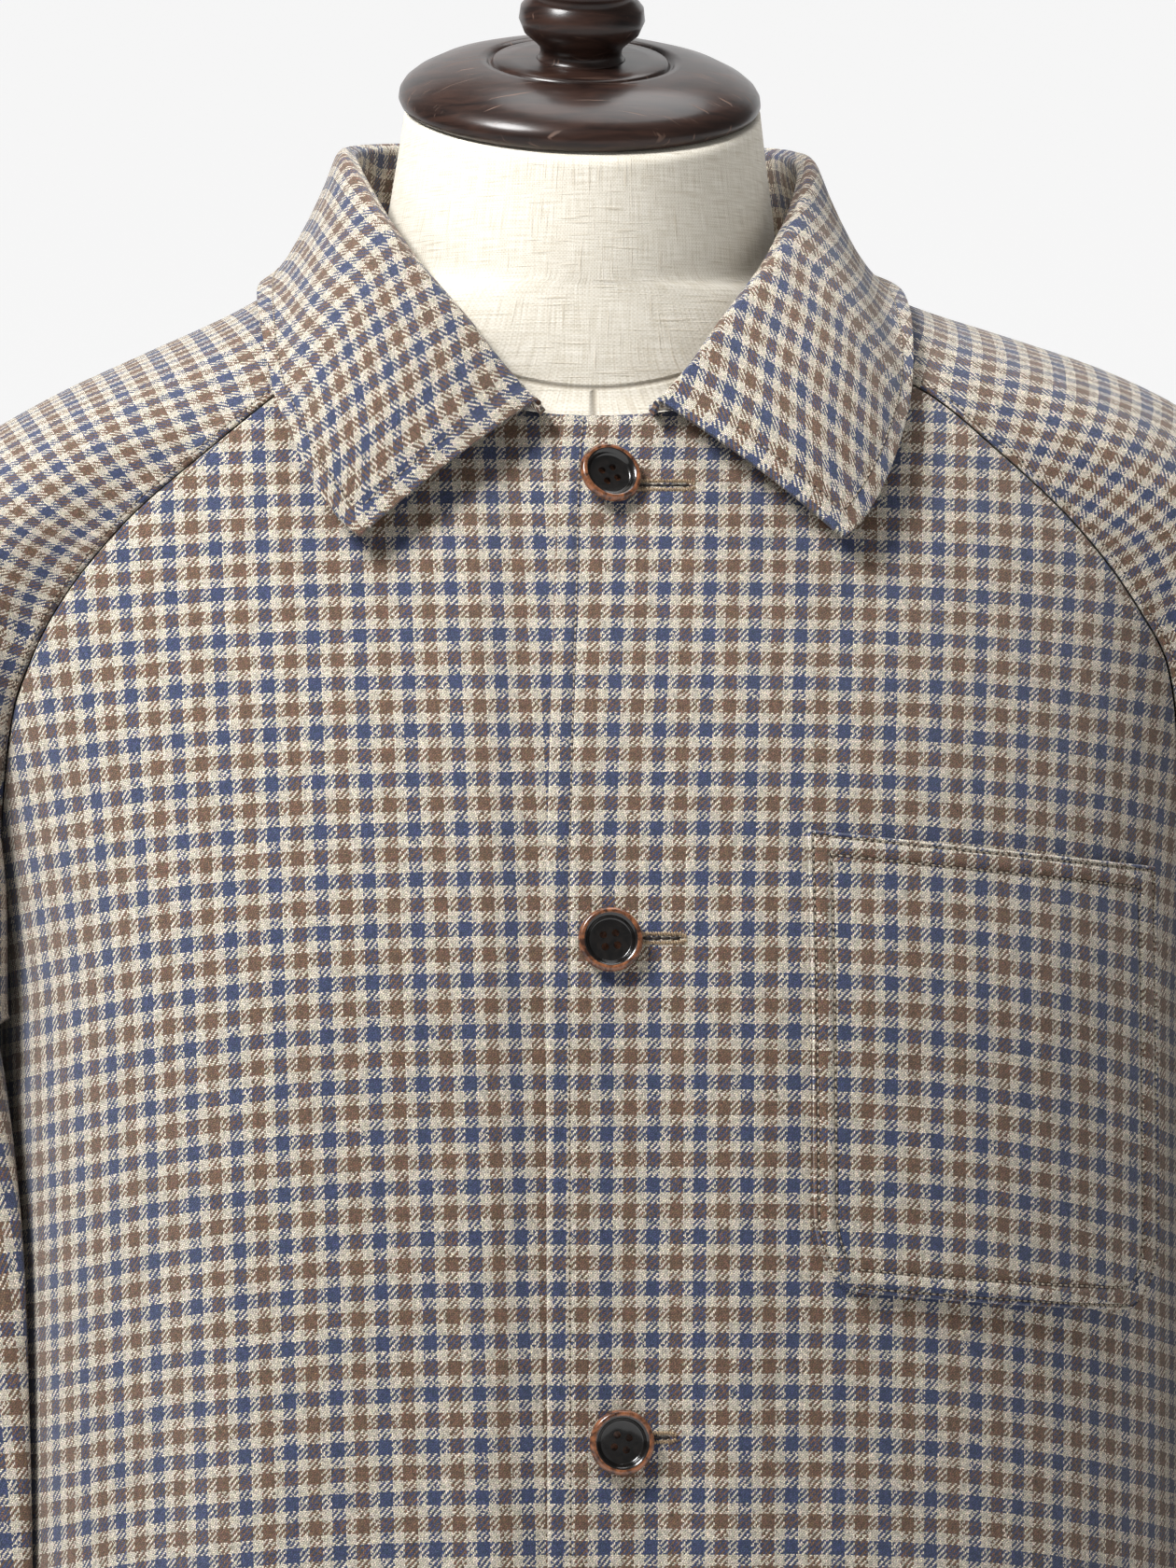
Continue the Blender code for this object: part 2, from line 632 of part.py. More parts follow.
def grid_mesh(name, rows, filled=False):
    """An open sheet through a grid of points, made by moving the corners of a plain grid.

    Where each row ends on its first point the sheet is a tube, and filled closes the tube's two ends.
    """
    down, across = len(rows), len(rows[0])
    sheet = bmesh.new()
    bmesh.ops.create_grid(sheet, x_segments=across - 1, y_segments=down - 1, size=1.0)
    corners = sorted(sheet.verts, key=lambda v: (round(v.co.y, 6), round(v.co.x, 6)))
    for i, corner in enumerate(corners):
        corner.co = rows[i // across][i % across]
    bmesh.ops.remove_doubles(sheet, verts=sheet.verts, dist=1e-6)
    if filled:
        bmesh.ops.holes_fill(sheet, edges=[edge for edge in sheet.edges if edge.is_boundary])
        bmesh.ops.recalc_face_normals(sheet, faces=sheet.faces)
    mesh = bpy.data.meshes.new(name)
    sheet.to_mesh(mesh)
    sheet.free()
    return mesh


def face_outwards(mesh, axis_point):
    """Turns an open sheet's faces away from a vertical line through a point."""
    total = 0.0
    for face in mesh.polygons:
        away = face.center - Vector((axis_point[0], axis_point[1], face.center.z))
        total += face.normal.dot(away) * face.area
    if total < 0:
        mesh.flip_normals()


def tree_of(mesh):
    sheet = bmesh.new()
    sheet.from_mesh(mesh)
    tree = BVHTree.FromBMesh(sheet)
    sheet.free()
    return tree


def make_material(name, colour, roughness, metallic=0.0):
    material = bpy.data.materials.new(name)
    material.use_nodes = True
    shader = material.node_tree.nodes["Principled BSDF"]
    shader.inputs["Base Color"].default_value = (*colour, 1.0)
    shader.inputs["Roughness"].default_value = roughness
    shader.inputs["Metallic"].default_value = metallic
    return material


def add_object(name, mesh, material, collection):
    thing = bpy.data.objects.new(name, mesh)
    mesh.materials.append(material)
    collection.objects.link(thing)
    mesh.shade_smooth()
    mesh.set_sharp_from_angle(angle=math.radians(SHARP_DEG))
    return thing


def add_wall(name, mesh, thickness, offset, material, collection):
    """A cloth piece: an open sheet given its thickness. offset -1 thickens it inwards."""
    thing = add_object(name, mesh, material, collection)
    wall = thing.modifiers.new("wall", "SOLIDIFY")
    wall.thickness = thickness
    wall.offset = offset
    wall.use_even_offset = False
    return thing


def make_collar(trees, material, collection):
    halves = []
    clearance = COLLAR_CLEARANCE + COLLAR_CLOTH / 2
    for side in (1, -1):
        whole = neckline(side)
        neck = [point for point in whole if abs(point.x) > COLLAR[0][1] or point.y > 0]
        neck.insert(0, along_line(whole[:2], (COLLAR[0][1] - abs(whole[0].x)) / abs(whole[1].x)))
        profiles = []
        for share in np.linspace(0, 1, COLLAR_HALF_STATIONS + 1):
            profile = collar_profile(side, share**COLLAR_SPACING_POWER, neck, trees)
            leaf = [lift_clear(point, trees, clearance) for point in profile[5:]]
            profiles.append(profile[:5] + leaf)
        halves.append(profiles)
    left, right = halves
    middle = [(a + b) / 2 for a, b in zip(left[-1], right[-1])]
    rows = left[:-1] + [middle] + right[-2::-1]
    mesh = grid_mesh("collar", rows)
    add_wall("collar", mesh, COLLAR_CLOTH, 0.0, material, collection)


def pocket_rows():
    """The chest pocket, laid on the left front from its bottom edge up, with rounded lower corners."""
    corner_shares = (0.0, 0.08, 0.29, 0.62, 1.0)
    heights = [POCKET_CORNER_HIGH * share for share in corner_shares]
    heights += list(np.linspace(POCKET_CORNER_HIGH, POCKET_DEPTH, POCKET_ROWS + 1)[1:])
    grid = []
    for height in heights:
        short = max(1 - height / POCKET_CORNER_HIGH, 0.0)
        cut = POCKET_CORNER_WIDE * (1 - math.sqrt(1 - short**2))
        inner, outer = POCKET_INNER_X + cut, POCKET_OUTER_X - cut
        line = []
        for x in np.linspace(inner, outer, POCKET_COLUMNS + 1):
            z = POCKET_TOP_Z - POCKET_DEPTH + height - POCKET_SLANT * (x - POCKET_INNER_X)
            line.append(lifted_point(1, -1, x, z, POCKET_STAND_OFF + CLOTH))
        grid.append(line)
    return grid


def add_turned(name, profile, steps, material, collection):
    """A solid of revolution about its own Z axis, from a profile of radius and height."""
    shape = bmesh.new()
    corners = [shape.verts.new((radius, 0.0, height)) for radius, height in profile]
    for pair in zip(corners, corners[1:]):
        shape.edges.new(pair)
    mesh = bpy.data.meshes.new(name)
    shape.to_mesh(mesh)
    shape.free()
    mesh.materials.append(material)
    thing = bpy.data.objects.new(name, mesh)
    collection.objects.link(thing)
    turn = thing.modifiers.new("turn", "SCREW")
    turn.steps = steps
    turn.render_steps = steps
    turn.use_merge_vertices = True
    turn.merge_threshold = 0.00001
    return thing


def make_buttons(tree, material, collection):
    for number, row in enumerate(BUTTONS, 1):
        place = dict(zip(BUTTON_COLUMNS, row))
        seat, normal, _, _ = tree.find_nearest(body_point(1, -1, 0.0, place["z"]))
        turn = math.radians(place["turn_deg"])
        facing = Matrix.Rotation(turn, 3, "Z") @ normal
        rise = SEAM_GAP + BUTTON_R / 2 * math.sin(turn)
        button = add_turned(f"button_{number}", BUTTON_PROFILE, 16, material, collection)
        button.location = seat + normal * rise
        button.location.x = place["x"]
        button.rotation_mode = "QUATERNION"
        button.rotation_quaternion = facing.to_track_quat("Z", "Y")


def form_rings():
    """Rings round the dress form's body and neck, each ending on its first point."""
    turns = [2 * math.pi * i / FORM_SEGMENTS for i in range(FORM_SEGMENTS + 1)]
    rings = []
    for row in FORM:
        ring = dict(zip(FORM_COLUMNS, row))
        points = []
        for turn in turns:
            x = ring["half"] * signed_power(math.cos(turn), 2 / ring["fullness"])
            reach = ring["back"] if math.sin(turn) > 0 else ring["front"]
            y = reach * math.sin(turn)
            points.append(Vector((x, y, ring["z"])))
        rings.append(points)
    for row in NECK:
        ring = dict(zip(NECK_COLUMNS, row))
        slope = math.tan(math.radians(CAP_TILT_DEG) * ring["tilt_share"])
        points = []
        for turn in turns:
            x = ring["radius"] * math.cos(turn)
            y = ring["radius"] * math.sin(turn)
            points.append(Vector((x, ring["centre_y"] + y, ring["z"] + slope * y)))
        rings.append(points)
    return rings


def make_neck_pieces(material, collection):
    for name, profile, steps in (
        ("neck_cap", NECK_CAP_PROFILE, 40),
        ("finial", FINIAL_PROFILE, 24),
    ):
        piece = add_turned(name, profile, steps, material, collection)
        piece.location = CAP_CENTRE
        piece.rotation_euler.x = math.radians(CAP_TILT_DEG)


def make_stand(wood, metal, collection):
    board = add_turned("bottom_board", BOARD_PROFILE, 32, wood, collection)
    board.location.z = FORM_BOTTOM_Z
    add_turned("stand_base", BASE_PROFILE, 48, wood, collection)
    low = BASE_PROFILE[0][1] + SEAM_GAP
    high = FORM_BOTTOM_Z + BOARD_PROFILE[-1][1] - SEAM_GAP
    shape = bmesh.new()
    bmesh.ops.create_cone(
        shape,
        cap_ends=True,
        segments=24,
        radius1=POLE_R,
        radius2=POLE_R,
        depth=high - low,
    )
    mesh = bpy.data.meshes.new("stand_pole")
    shape.to_mesh(mesh)
    shape.free()
    pole = add_object("stand_pole", mesh, metal, collection)
    pole.location.z = (low + high) / 2


def build():
    clear_scene()
    collection = bpy.data.collections.new("jacket_on_dress_form")
    bpy.context.scene.collection.children.link(collection)
    cloth = make_material("check_cloth", (0.36, 0.31, 0.26), 0.85)
    horn = make_material("button_horn", (0.035, 0.022, 0.018), 0.25)
    linen = make_material("form_linen", (0.72, 0.68, 0.60), 0.85)
    wood = make_material("dark_wood", (0.045, 0.026, 0.019), 0.28)
    metal = make_material("stand_metal", (0.10, 0.09, 0.08), 0.35, 1.0)

    trees = {}
    for name, side in (("front_left", 1), ("front_right", -1)):
        mesh = grid_mesh(name, front_rows(side))
        face_outwards(mesh, (0.0, 0.0))
        trees[name] = tree_of(mesh)
        add_wall(name, mesh, CLOTH, -1.0, cloth, collection)
    mesh = grid_mesh("back", back_rows())
    face_outwards(mesh, (0.0, 0.0))
    trees["back"] = tree_of(mesh)
    add_wall("back", mesh, CLOTH, -1.0, cloth, collection)
    for name, side in (("sleeve_left", 1), ("sleeve_right", -1)):
        mesh = grid_mesh(name, sleeve_rows(side))
        face_outwards(mesh, (side * 0.225, 0.0))
        trees[name] = tree_of(mesh)
        add_wall(name, mesh, CLOTH, -1.0, cloth, collection)

    make_collar(list(trees.values()), cloth, collection)
    pocket = grid_mesh("chest_pocket", pocket_rows())
    face_outwards(pocket, (0.0, 0.0))
    add_wall("chest_pocket", pocket, CLOTH, -1.0, cloth, collection)
    make_buttons(trees["front_left"], horn, collection)
    add_object("form_torso", grid_mesh("form_torso", form_rings(), filled=True), linen, collection)
    make_neck_pieces(wood, collection)
    make_stand(wood, metal, collection)


build()
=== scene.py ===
import math

import bmesh
import bpy
import numpy as np
from mathutils import Matrix, Vector
from mathutils.bvhtree import BVHTree


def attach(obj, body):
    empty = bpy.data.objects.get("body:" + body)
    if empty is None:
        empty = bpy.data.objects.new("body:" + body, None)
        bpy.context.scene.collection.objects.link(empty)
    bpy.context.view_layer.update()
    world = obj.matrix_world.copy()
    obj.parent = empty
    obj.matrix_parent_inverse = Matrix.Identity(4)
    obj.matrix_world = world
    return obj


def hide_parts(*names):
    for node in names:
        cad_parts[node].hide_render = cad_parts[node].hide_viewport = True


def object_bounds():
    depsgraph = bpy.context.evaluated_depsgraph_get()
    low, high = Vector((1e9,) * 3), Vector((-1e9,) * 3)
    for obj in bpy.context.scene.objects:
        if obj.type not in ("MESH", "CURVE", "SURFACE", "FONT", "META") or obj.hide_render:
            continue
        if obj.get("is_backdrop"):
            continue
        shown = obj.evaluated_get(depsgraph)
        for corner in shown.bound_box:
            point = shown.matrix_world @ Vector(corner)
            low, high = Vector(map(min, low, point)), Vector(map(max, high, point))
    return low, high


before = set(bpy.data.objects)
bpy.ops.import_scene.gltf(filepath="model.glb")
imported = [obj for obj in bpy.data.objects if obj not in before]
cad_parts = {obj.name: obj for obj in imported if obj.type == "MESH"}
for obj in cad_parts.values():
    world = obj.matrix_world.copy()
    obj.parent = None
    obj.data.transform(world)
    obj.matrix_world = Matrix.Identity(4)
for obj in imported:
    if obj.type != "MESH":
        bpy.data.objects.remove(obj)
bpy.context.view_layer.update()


# The dress form's body and neck: a padded shell under a tight cover of off-white linen, sewn in panels.
# A seam runs down the centre of the front and another round the base of the neck, where the neck's own
# cover is sewn on. The jacket hangs from the form's shoulders.
FORM = (
    ("z", "half", "front", "back", "fullness"),
    (0.700, 0.1580, 0.1060, 0.1000, 2.4),
    (0.780, 0.1630, 0.1110, 0.1050, 2.4),
    (0.950, 0.1500, 0.1000, 0.0980, 2.4),
    (1.100, 0.1560, 0.1150, 0.1070, 2.4),
    (1.200, 0.1660, 0.1250, 0.1180, 2.5),
    (1.290, 0.1750, 0.1230, 0.1225, 2.5),
    (1.342, 0.1850, 0.1100, 0.1190, 2.3),
    (1.385, 0.1930, 0.0945, 0.1120, 2.1),
    (1.410, 0.1920, 0.0825, 0.1040, 1.9),
    (1.425, 0.1820, 0.0750, 0.0970, 1.75),
    (1.437, 0.1600, 0.0705, 0.0900, 1.65),
    (1.448, 0.1300, 0.0720, 0.0810, 1.65),
    (1.458, 0.1030, 0.0738, 0.0710, 1.8),
    (1.470, 0.0800, 0.0758, 0.0610, 2.0),
)
NECK = (
    ("z", "centre_y", "radius", "tilt_share"),
    (1.482, -0.0116, 0.0652, 0.35),
    (1.497, -0.0166, 0.0625, 0.60),
    (1.5145, -0.0218, 0.0597, 0.85),
    (1.5318, -0.0269, 0.0572, 1.00),
)
CAP_TILT_DEG = 20.5


def powered(value, power):
    """A power that keeps the sign, for rounded squares."""
    return np.sign(value) * np.abs(value) ** power


def refined(points, times):
    """Puts times - 1 new rows between each two, on a smooth curve through all the rows."""
    ends = np.concatenate([2 * points[:1] - points[1:2], points, 2 * points[-1:] - points[-2:-1]])
    before, start, end, after = ends[:-3], ends[1:-2], ends[2:-1], ends[3:]
    rows = []
    for i in range(times):
        t = i / times
        rows.append(
            start
            + t / 2 * (end - before)
            + t**2 / 2 * (2 * before - 5 * start + 4 * end - after)
            + t**3 / 2 * (3 * start - before - 3 * end + after)
        )
    woven = np.stack(rows, axis=1).reshape(-1, *points.shape[1:])
    return np.concatenate([woven, points[-1:]])


def run_lengths(points, axis):
    """How far along its line each point of a grid is."""
    steps = np.linalg.norm(np.diff(points, axis=axis), axis=-1)
    lead = np.zeros_like(np.take(steps, [0], axis=axis))
    return np.concatenate([lead, np.cumsum(steps, axis=axis)], axis=axis)


def mesh_of(name, shape):
    """A new mesh with the faces of a shape, which isn't needed any more."""
    mesh = bpy.data.meshes.new(name)
    shape.to_mesh(mesh)
    shape.free()
    return mesh


def sheet_mesh(name, points, uv, closed=False):
    """A plain grid with its corners moved to points and its pattern laid on by uv, in metres."""
    down, across = points.shape[:2]
    sheet = bmesh.new()
    bmesh.ops.create_grid(sheet, x_segments=across - 1, y_segments=down - 1, size=1.0)
    mesh = bpy.data.meshes.new(name)
    sheet.to_mesh(mesh)
    mesh.vertices.foreach_set("co", points.reshape(-1).astype(np.float32))
    corners = np.empty(len(mesh.loops), np.int32)
    mesh.loops.foreach_get("vertex_index", corners)
    layer = mesh.uv_layers.new(name="cut")
    layer.data.foreach_set("uv", uv.reshape(-1, 2)[corners].ravel().astype(np.float32))
    sheet.clear()
    sheet.from_mesh(mesh)
    if closed:
        bmesh.ops.remove_doubles(sheet, verts=sheet.verts, dist=1e-6)
    sheet.to_mesh(mesh)
    sheet.free()
    return mesh


def turned_outwards(mesh, x, y):
    """Turns a sheet's faces away from an upright line through x, y."""
    total = 0.0
    for face in mesh.polygons:
        total += (face.normal.x * (face.center.x - x) + face.normal.y * (face.center.y - y)) * face.area
    if total < 0:
        mesh.flip_normals()
    return mesh


def add_object(name, data):
    """Puts a mesh, lens or lamp into the scene."""
    thing = bpy.data.objects.new(name, data)
    bpy.context.scene.collection.objects.link(thing)
    return thing


def add_piece(name, mesh, material, node, slot):
    """Puts a finished mesh into the scene in place of its solid."""
    piece = add_object(name, mesh)
    mesh.materials.append(material)
    mesh.shade_smooth()
    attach(piece, "root")
    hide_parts(node)
    return piece


def form_points(count):
    """The form's surface, from its bottom edge up to the top of its neck."""
    turns = np.linspace(0.5 * math.pi, 2.5 * math.pi, count + 1)
    rings = []
    for z, half, front, back, fullness in FORM[1:]:
        x = half * powered(np.cos(turns), 2 / fullness)
        y = np.where(np.sin(turns) > 0, back, front) * np.sin(turns)
        rings.append(np.stack([x, y, np.full_like(x, z)], axis=-1))
    for z, centre_y, radius, tilt_share in NECK[1:]:
        slope = math.tan(math.radians(CAP_TILT_DEG) * tilt_share)
        x, y = radius * np.cos(turns), radius * np.sin(turns)
        rings.append(np.stack([x, centre_y + y, z + slope * y], axis=-1))
    return refined(np.array(rings), 5)


def linear(red, green, blue):
    """A colour read off a screen, from 0 to 255, as the light it gives back."""
    parts = [value / 255 for value in (red, green, blue)]
    return (*[v / 12.92 if v <= 0.04045 else ((v + 0.055) / 1.055) ** 2.4 for v in parts], 1.0)


class Look:
    """A material, and the makers of the nodes that lead to its shader."""

    def __init__(self, name):
        self.material = bpy.data.materials.new(name)
        self.material.use_nodes = True
        self.tree = self.material.node_tree

    def plug(self, made, inputs):
        for place, value in dict(inputs).items():
            if isinstance(value, bpy.types.NodeSocket):
                self.tree.links.new(value, made.inputs[place])
            else:
                made.inputs[place].default_value = value

    def make(self, kind, inputs=(), **settings):
        """The outputs of a new node."""
        made = self.tree.nodes.new("ShaderNode" + kind)
        for setting, value in settings.items():
            setattr(made, setting, value)
        self.plug(made, inputs)
        return made.outputs

    def calc(self, operation, *values):
        return self.make("Math", dict(enumerate(values)), operation=operation)[0]

    def noise(self, where, scale, detail, **further):
        return self.make("TexNoise", {"Vector": where, "Scale": scale, "Detail": detail, **further})[0]

    def place(self, scale=(1.0, 1.0, 1.0), turn=(0.0, 0.0, 0.0)):
        """Where on the object a point is, turned and stretched."""
        where = self.make("TexCoord")["Object"]
        return self.make("Mapping", {"Vector": where, "Rotation": turn, "Scale": scale})[0]

    def rise(self, value, low, high, start=0.0, end=1.0):
        """From start at low to end at high."""
        return self.make("MapRange", {0: value, 1: low, 2: high, 3: start, 4: end})[0]

    def ramp(self, value, *stops, interpolation="LINEAR"):
        """A colour that follows a value, from pairs of a position and a screen colour."""
        made = self.tree.nodes.new("ShaderNodeValToRGB")
        self.plug(made, {0: value})
        made.color_ramp.interpolation = interpolation
        elements = made.color_ramp.elements
        for i, (position, colour) in enumerate(stops):
            element = elements[i] if i < 2 else elements.new(position)
            element.position, element.color = position, linear(*colour)
        return made.outputs[0]

    def mix(self, share, first, second, blend="MIX"):
        return self.make("Mix", {0: share, 6: first, 7: second}, data_type="RGBA", blend_type=blend)[2]

    def bump(self, height, distance, strength):
        return self.make("Bump", {"Height": height, "Distance": distance, "Strength": strength})[0]

    def finish(self, colour, roughness, bump=None, **further):
        """Leads everything to the shader. Names in further have _ for their spaces."""
        inputs = {"Base Color": colour, "Roughness": roughness}
        if bump is not None:
            inputs["Normal"] = bump
        inputs |= {name.replace("_", " "): value for name, value in further.items()}
        self.plug(self.tree.nodes["Principled BSDF"], inputs)
        return self.material


LINEN_THREAD = 0.0012
NECK_SEAM_Z = 1.439
NECK_SEAM_CURVE = 5.3


def linen_material():
    """Plain linen: fine threads both ways, some of them thick and uneven, in unbleached off-white."""
    look = Look("form_linen")
    make, calc = look.make, look.calc
    u, v, _ = make("SeparateXYZ", {0: make("UVMap", uv_map="cut")[0]})

    def streaked(across, along, fine, long, detail):
        sides = {0: calc("MULTIPLY", across, fine), 1: calc("MULTIPLY", along, long)}
        return look.noise(make("CombineXYZ", sides)[0], 1.0, detail)

    streaks = [streaked(*way, 2600.0, 90.0, 2.0) for way in ((u, v), (v, u))]
    slubs = [look.rise(streaked(*way, 900.0, 70.0, 1.0), 0.60, 0.75) for way in ((u, v), (v, u))]
    ways = [calc("SINE", calc("MULTIPLY", way, 2 * math.pi / LINEN_THREAD)) for way in (u, v)]
    canvas = calc("MULTIPLY", calc("MULTIPLY", *ways), 0.07)
    threads = calc("ADD", canvas, calc("MULTIPLY", calc("ADD", *streaks), 0.5))
    thick = calc("MAXIMUM", *slubs)
    tone = look.ramp(threads, (0.34, (212, 203, 184)), (0.62, (247, 241, 228)))
    darker = look.mix(calc("MULTIPLY", thick, 0.35), tone, linear(196, 182, 158))
    x, _, z = make("SeparateXYZ", {0: look.place()})
    neck_seam = calc("MULTIPLY_ADD", calc("MULTIPLY", x, x), NECK_SEAM_CURVE, NECK_SEAM_Z)
    above = calc("SUBTRACT", z, neck_seam)
    centre_seam = calc("ADD", calc("ABSOLUTE", u), calc("GREATER_THAN", above, 0.0))
    off_seam = calc("MINIMUM", calc("ABSOLUTE", above), centre_seam)
    seam = look.rise(off_seam, 0.0002, 0.0012, 1.0, 0.0)
    sewn = look.mix(calc("MULTIPLY", seam, 0.6), darker, linear(120, 107, 88))
    height = calc("MULTIPLY_ADD", seam, -3.0, calc("MULTIPLY_ADD", thick, 0.5, threads))
    return look.finish(sewn, 0.92, look.bump(height, 0.00025, 0.7), Sheen_Weight=0.15)


linen = linen_material()

FORM_SIDES = 144
NECK_R = 0.068
points = form_points(FORM_SIDES)
around = run_lengths(points, 1)
around -= around[:, -1:] / 2
even = NECK_R * np.linspace(-math.pi, math.pi, FORM_SIDES + 1)
high = np.clip((points[..., 2] - 1.30) / 0.08, 0.0, 1.0)
uv = np.stack([around + (even - around) * high, points[..., 2]], axis=-1)
mesh = turned_outwards(sheet_mesh("form_cover", points, uv, closed=True), 0.0, 0.0)
shape = bmesh.new()
shape.from_mesh(mesh)
bmesh.ops.holes_fill(shape, edges=[edge for edge in shape.edges if edge.is_boundary])
shape.to_mesh(mesh)
shape.free()
add_piece("form_cover", mesh, linen, "form_torso", "form_linen")


# The neck cap and its finial: turned hardwood, stained a dark walnut brown and lacquered until it shines.
# The cap closes the neck and leans forward with it. A raised disc and a bead lead up to the finial.
CAP_CENTRE = (-0.0012, -0.0270, 1.5320)
FINIAL_DROP = 0.0010
NECK_CAP = (
    (0.0000, 0.0166), (0.0220, 0.0165), (0.0276, 0.0162), (0.0284, 0.0156), (0.0287, 0.0146),
    (0.0293, 0.0143), (0.0300, 0.0151), (0.0309, 0.0160), (0.0330, 0.0160), (0.0400, 0.0149),
    (0.0480, 0.0125), (0.0540, 0.0094), (0.0568, 0.0071), (0.0581, 0.0050), (0.0584, 0.0028),
    (0.0576, 0.0010), (0.0560, 0.0003), (0.0000, 0.0003),
)
FINIAL = (
    (0.0000, 0.0742), (0.0060, 0.0735), (0.0125, 0.0700), (0.0150, 0.0640), (0.0135, 0.0580),
    (0.0095, 0.0520), (0.0105, 0.0472), (0.0160, 0.0450), (0.0188, 0.0428), (0.0186, 0.0402),
    (0.0170, 0.0382), (0.0178, 0.0370), (0.0198, 0.0345), (0.0203, 0.0305), (0.0185, 0.0262),
    (0.0150, 0.0232), (0.0134, 0.0216), (0.0131, 0.0196), (0.0138, 0.0180), (0.0150, 0.0170),
    (0.0000, 0.0170),
)


def turned_mesh(name, profile, steps, place=Matrix.Identity(4)):
    """A piece turned on a lathe: its outline, from the top centre out and down, spun round its axis."""
    shape = bmesh.new()
    corners = [shape.verts.new((radius, 0.0, height)) for radius, height in profile]
    edges = [shape.edges.new(pair) for pair in zip(corners, corners[1:])]
    bmesh.ops.spin(
        shape,
        geom=corners + edges,
        cent=(0, 0, 0),
        axis=(0, 0, 1),
        angle=2 * math.pi,
        steps=steps,
        use_merge=True,
    )
    bmesh.ops.remove_doubles(shape, verts=shape.verts, dist=1e-6)
    bmesh.ops.recalc_face_normals(shape, faces=shape.faces)
    bmesh.ops.transform(shape, matrix=place, verts=shape.verts)
    return mesh_of(name, shape)


def wood_material():
    """Close-grained hardwood under dark stain and gloss lacquer, with the fine scratches of long use."""
    look = Look("dark_wood")
    calc = look.calc
    grain = look.noise(look.place((60.0, 60.0, 420.0)), 1.0, 4.0, Distortion=0.6)
    tone = look.ramp(grain, (0.30, (27, 18, 16)), (0.72, (60, 41, 34)))
    marks = []
    for turn_deg in (25.0, -50.0):
        turned = look.place((30.0, 900.0, 160.0), (0.2, 0.1, math.radians(turn_deg)))
        marks.append(look.rise(look.noise(turned, 1.0, 1.0), 0.70, 0.78))
    scratched = calc("MAXIMUM", *marks)
    colour = look.mix(calc("MULTIPLY", scratched, 0.45), tone, linear(150, 120, 104))
    bump = look.bump(calc("MULTIPLY_ADD", scratched, -1.0, grain), 0.00008, 0.4)
    dull = calc("MULTIPLY_ADD", scratched, 0.30, 0.30)
    return look.finish(colour, dull, bump, Coat_Weight=0.18, Coat_Roughness=0.15, Specular_IOR_Level=0.3)


wood = wood_material()
leaning = Matrix.Translation(CAP_CENTRE) @ Matrix.Rotation(math.radians(CAP_TILT_DEG), 4, "X")
lowered = leaning @ Matrix.Translation((0, 0, -FINIAL_DROP))
for node, profile, steps, place in (("neck_cap", NECK_CAP, 128, leaning), ("finial", FINIAL, 96, lowered)):
    add_piece(node + "_turned", turned_mesh(node + "_turned", profile, steps, place), wood, node, "dark_wood")


# The stand under the form: a turned board that closes the form's bottom, a steel pole, and a round
# weighted base of the same dark wood as the cap.
BOARD = ((0.0, 0.6997), (0.0930, 0.6997), (0.0960, 0.6960), (0.0960, 0.6890), (0.0900, 0.6860), (0.0, 0.6860))
BASE = (
    (0.0000, 0.0460), (0.0300, 0.0460), (0.0320, 0.0440), (0.0400, 0.0360), (0.0560, 0.0320),
    (0.0620, 0.0290), (0.1500, 0.0230), (0.1960, 0.0180), (0.2000, 0.0130), (0.2000, 0.0040),
    (0.1960, 0.0000), (0.0000, 0.0000),
)
POLE = ((0.0, 0.6857), (0.0150, 0.6857), (0.0150, 0.0463), (0.0, 0.0463))


def steel_material():
    """Steel tube with a dark satin finish, brushed along its length."""
    look = Look("stand_steel")
    brushed = look.noise(look.place((1500.0, 1500.0, 30.0)), 1.0, 3.0)
    tone = look.ramp(brushed, (0.0, (58, 54, 50)), (1.0, (104, 98, 92)))
    return look.finish(tone, look.calc("MULTIPLY_ADD", brushed, 0.25, 0.25), Metallic=1.0)


steel = steel_material()
for node, profile, steps, material, slot in (
    ("bottom_board", BOARD, 96, wood, "dark_wood"),
    ("stand_base", BASE, 128, wood, "dark_wood"),
    ("stand_pole", POLE, 64, steel, "stand_metal"),
):
    add_piece(node + "_turned", turned_mesh(node + "_turned", profile, steps), material, node, slot)


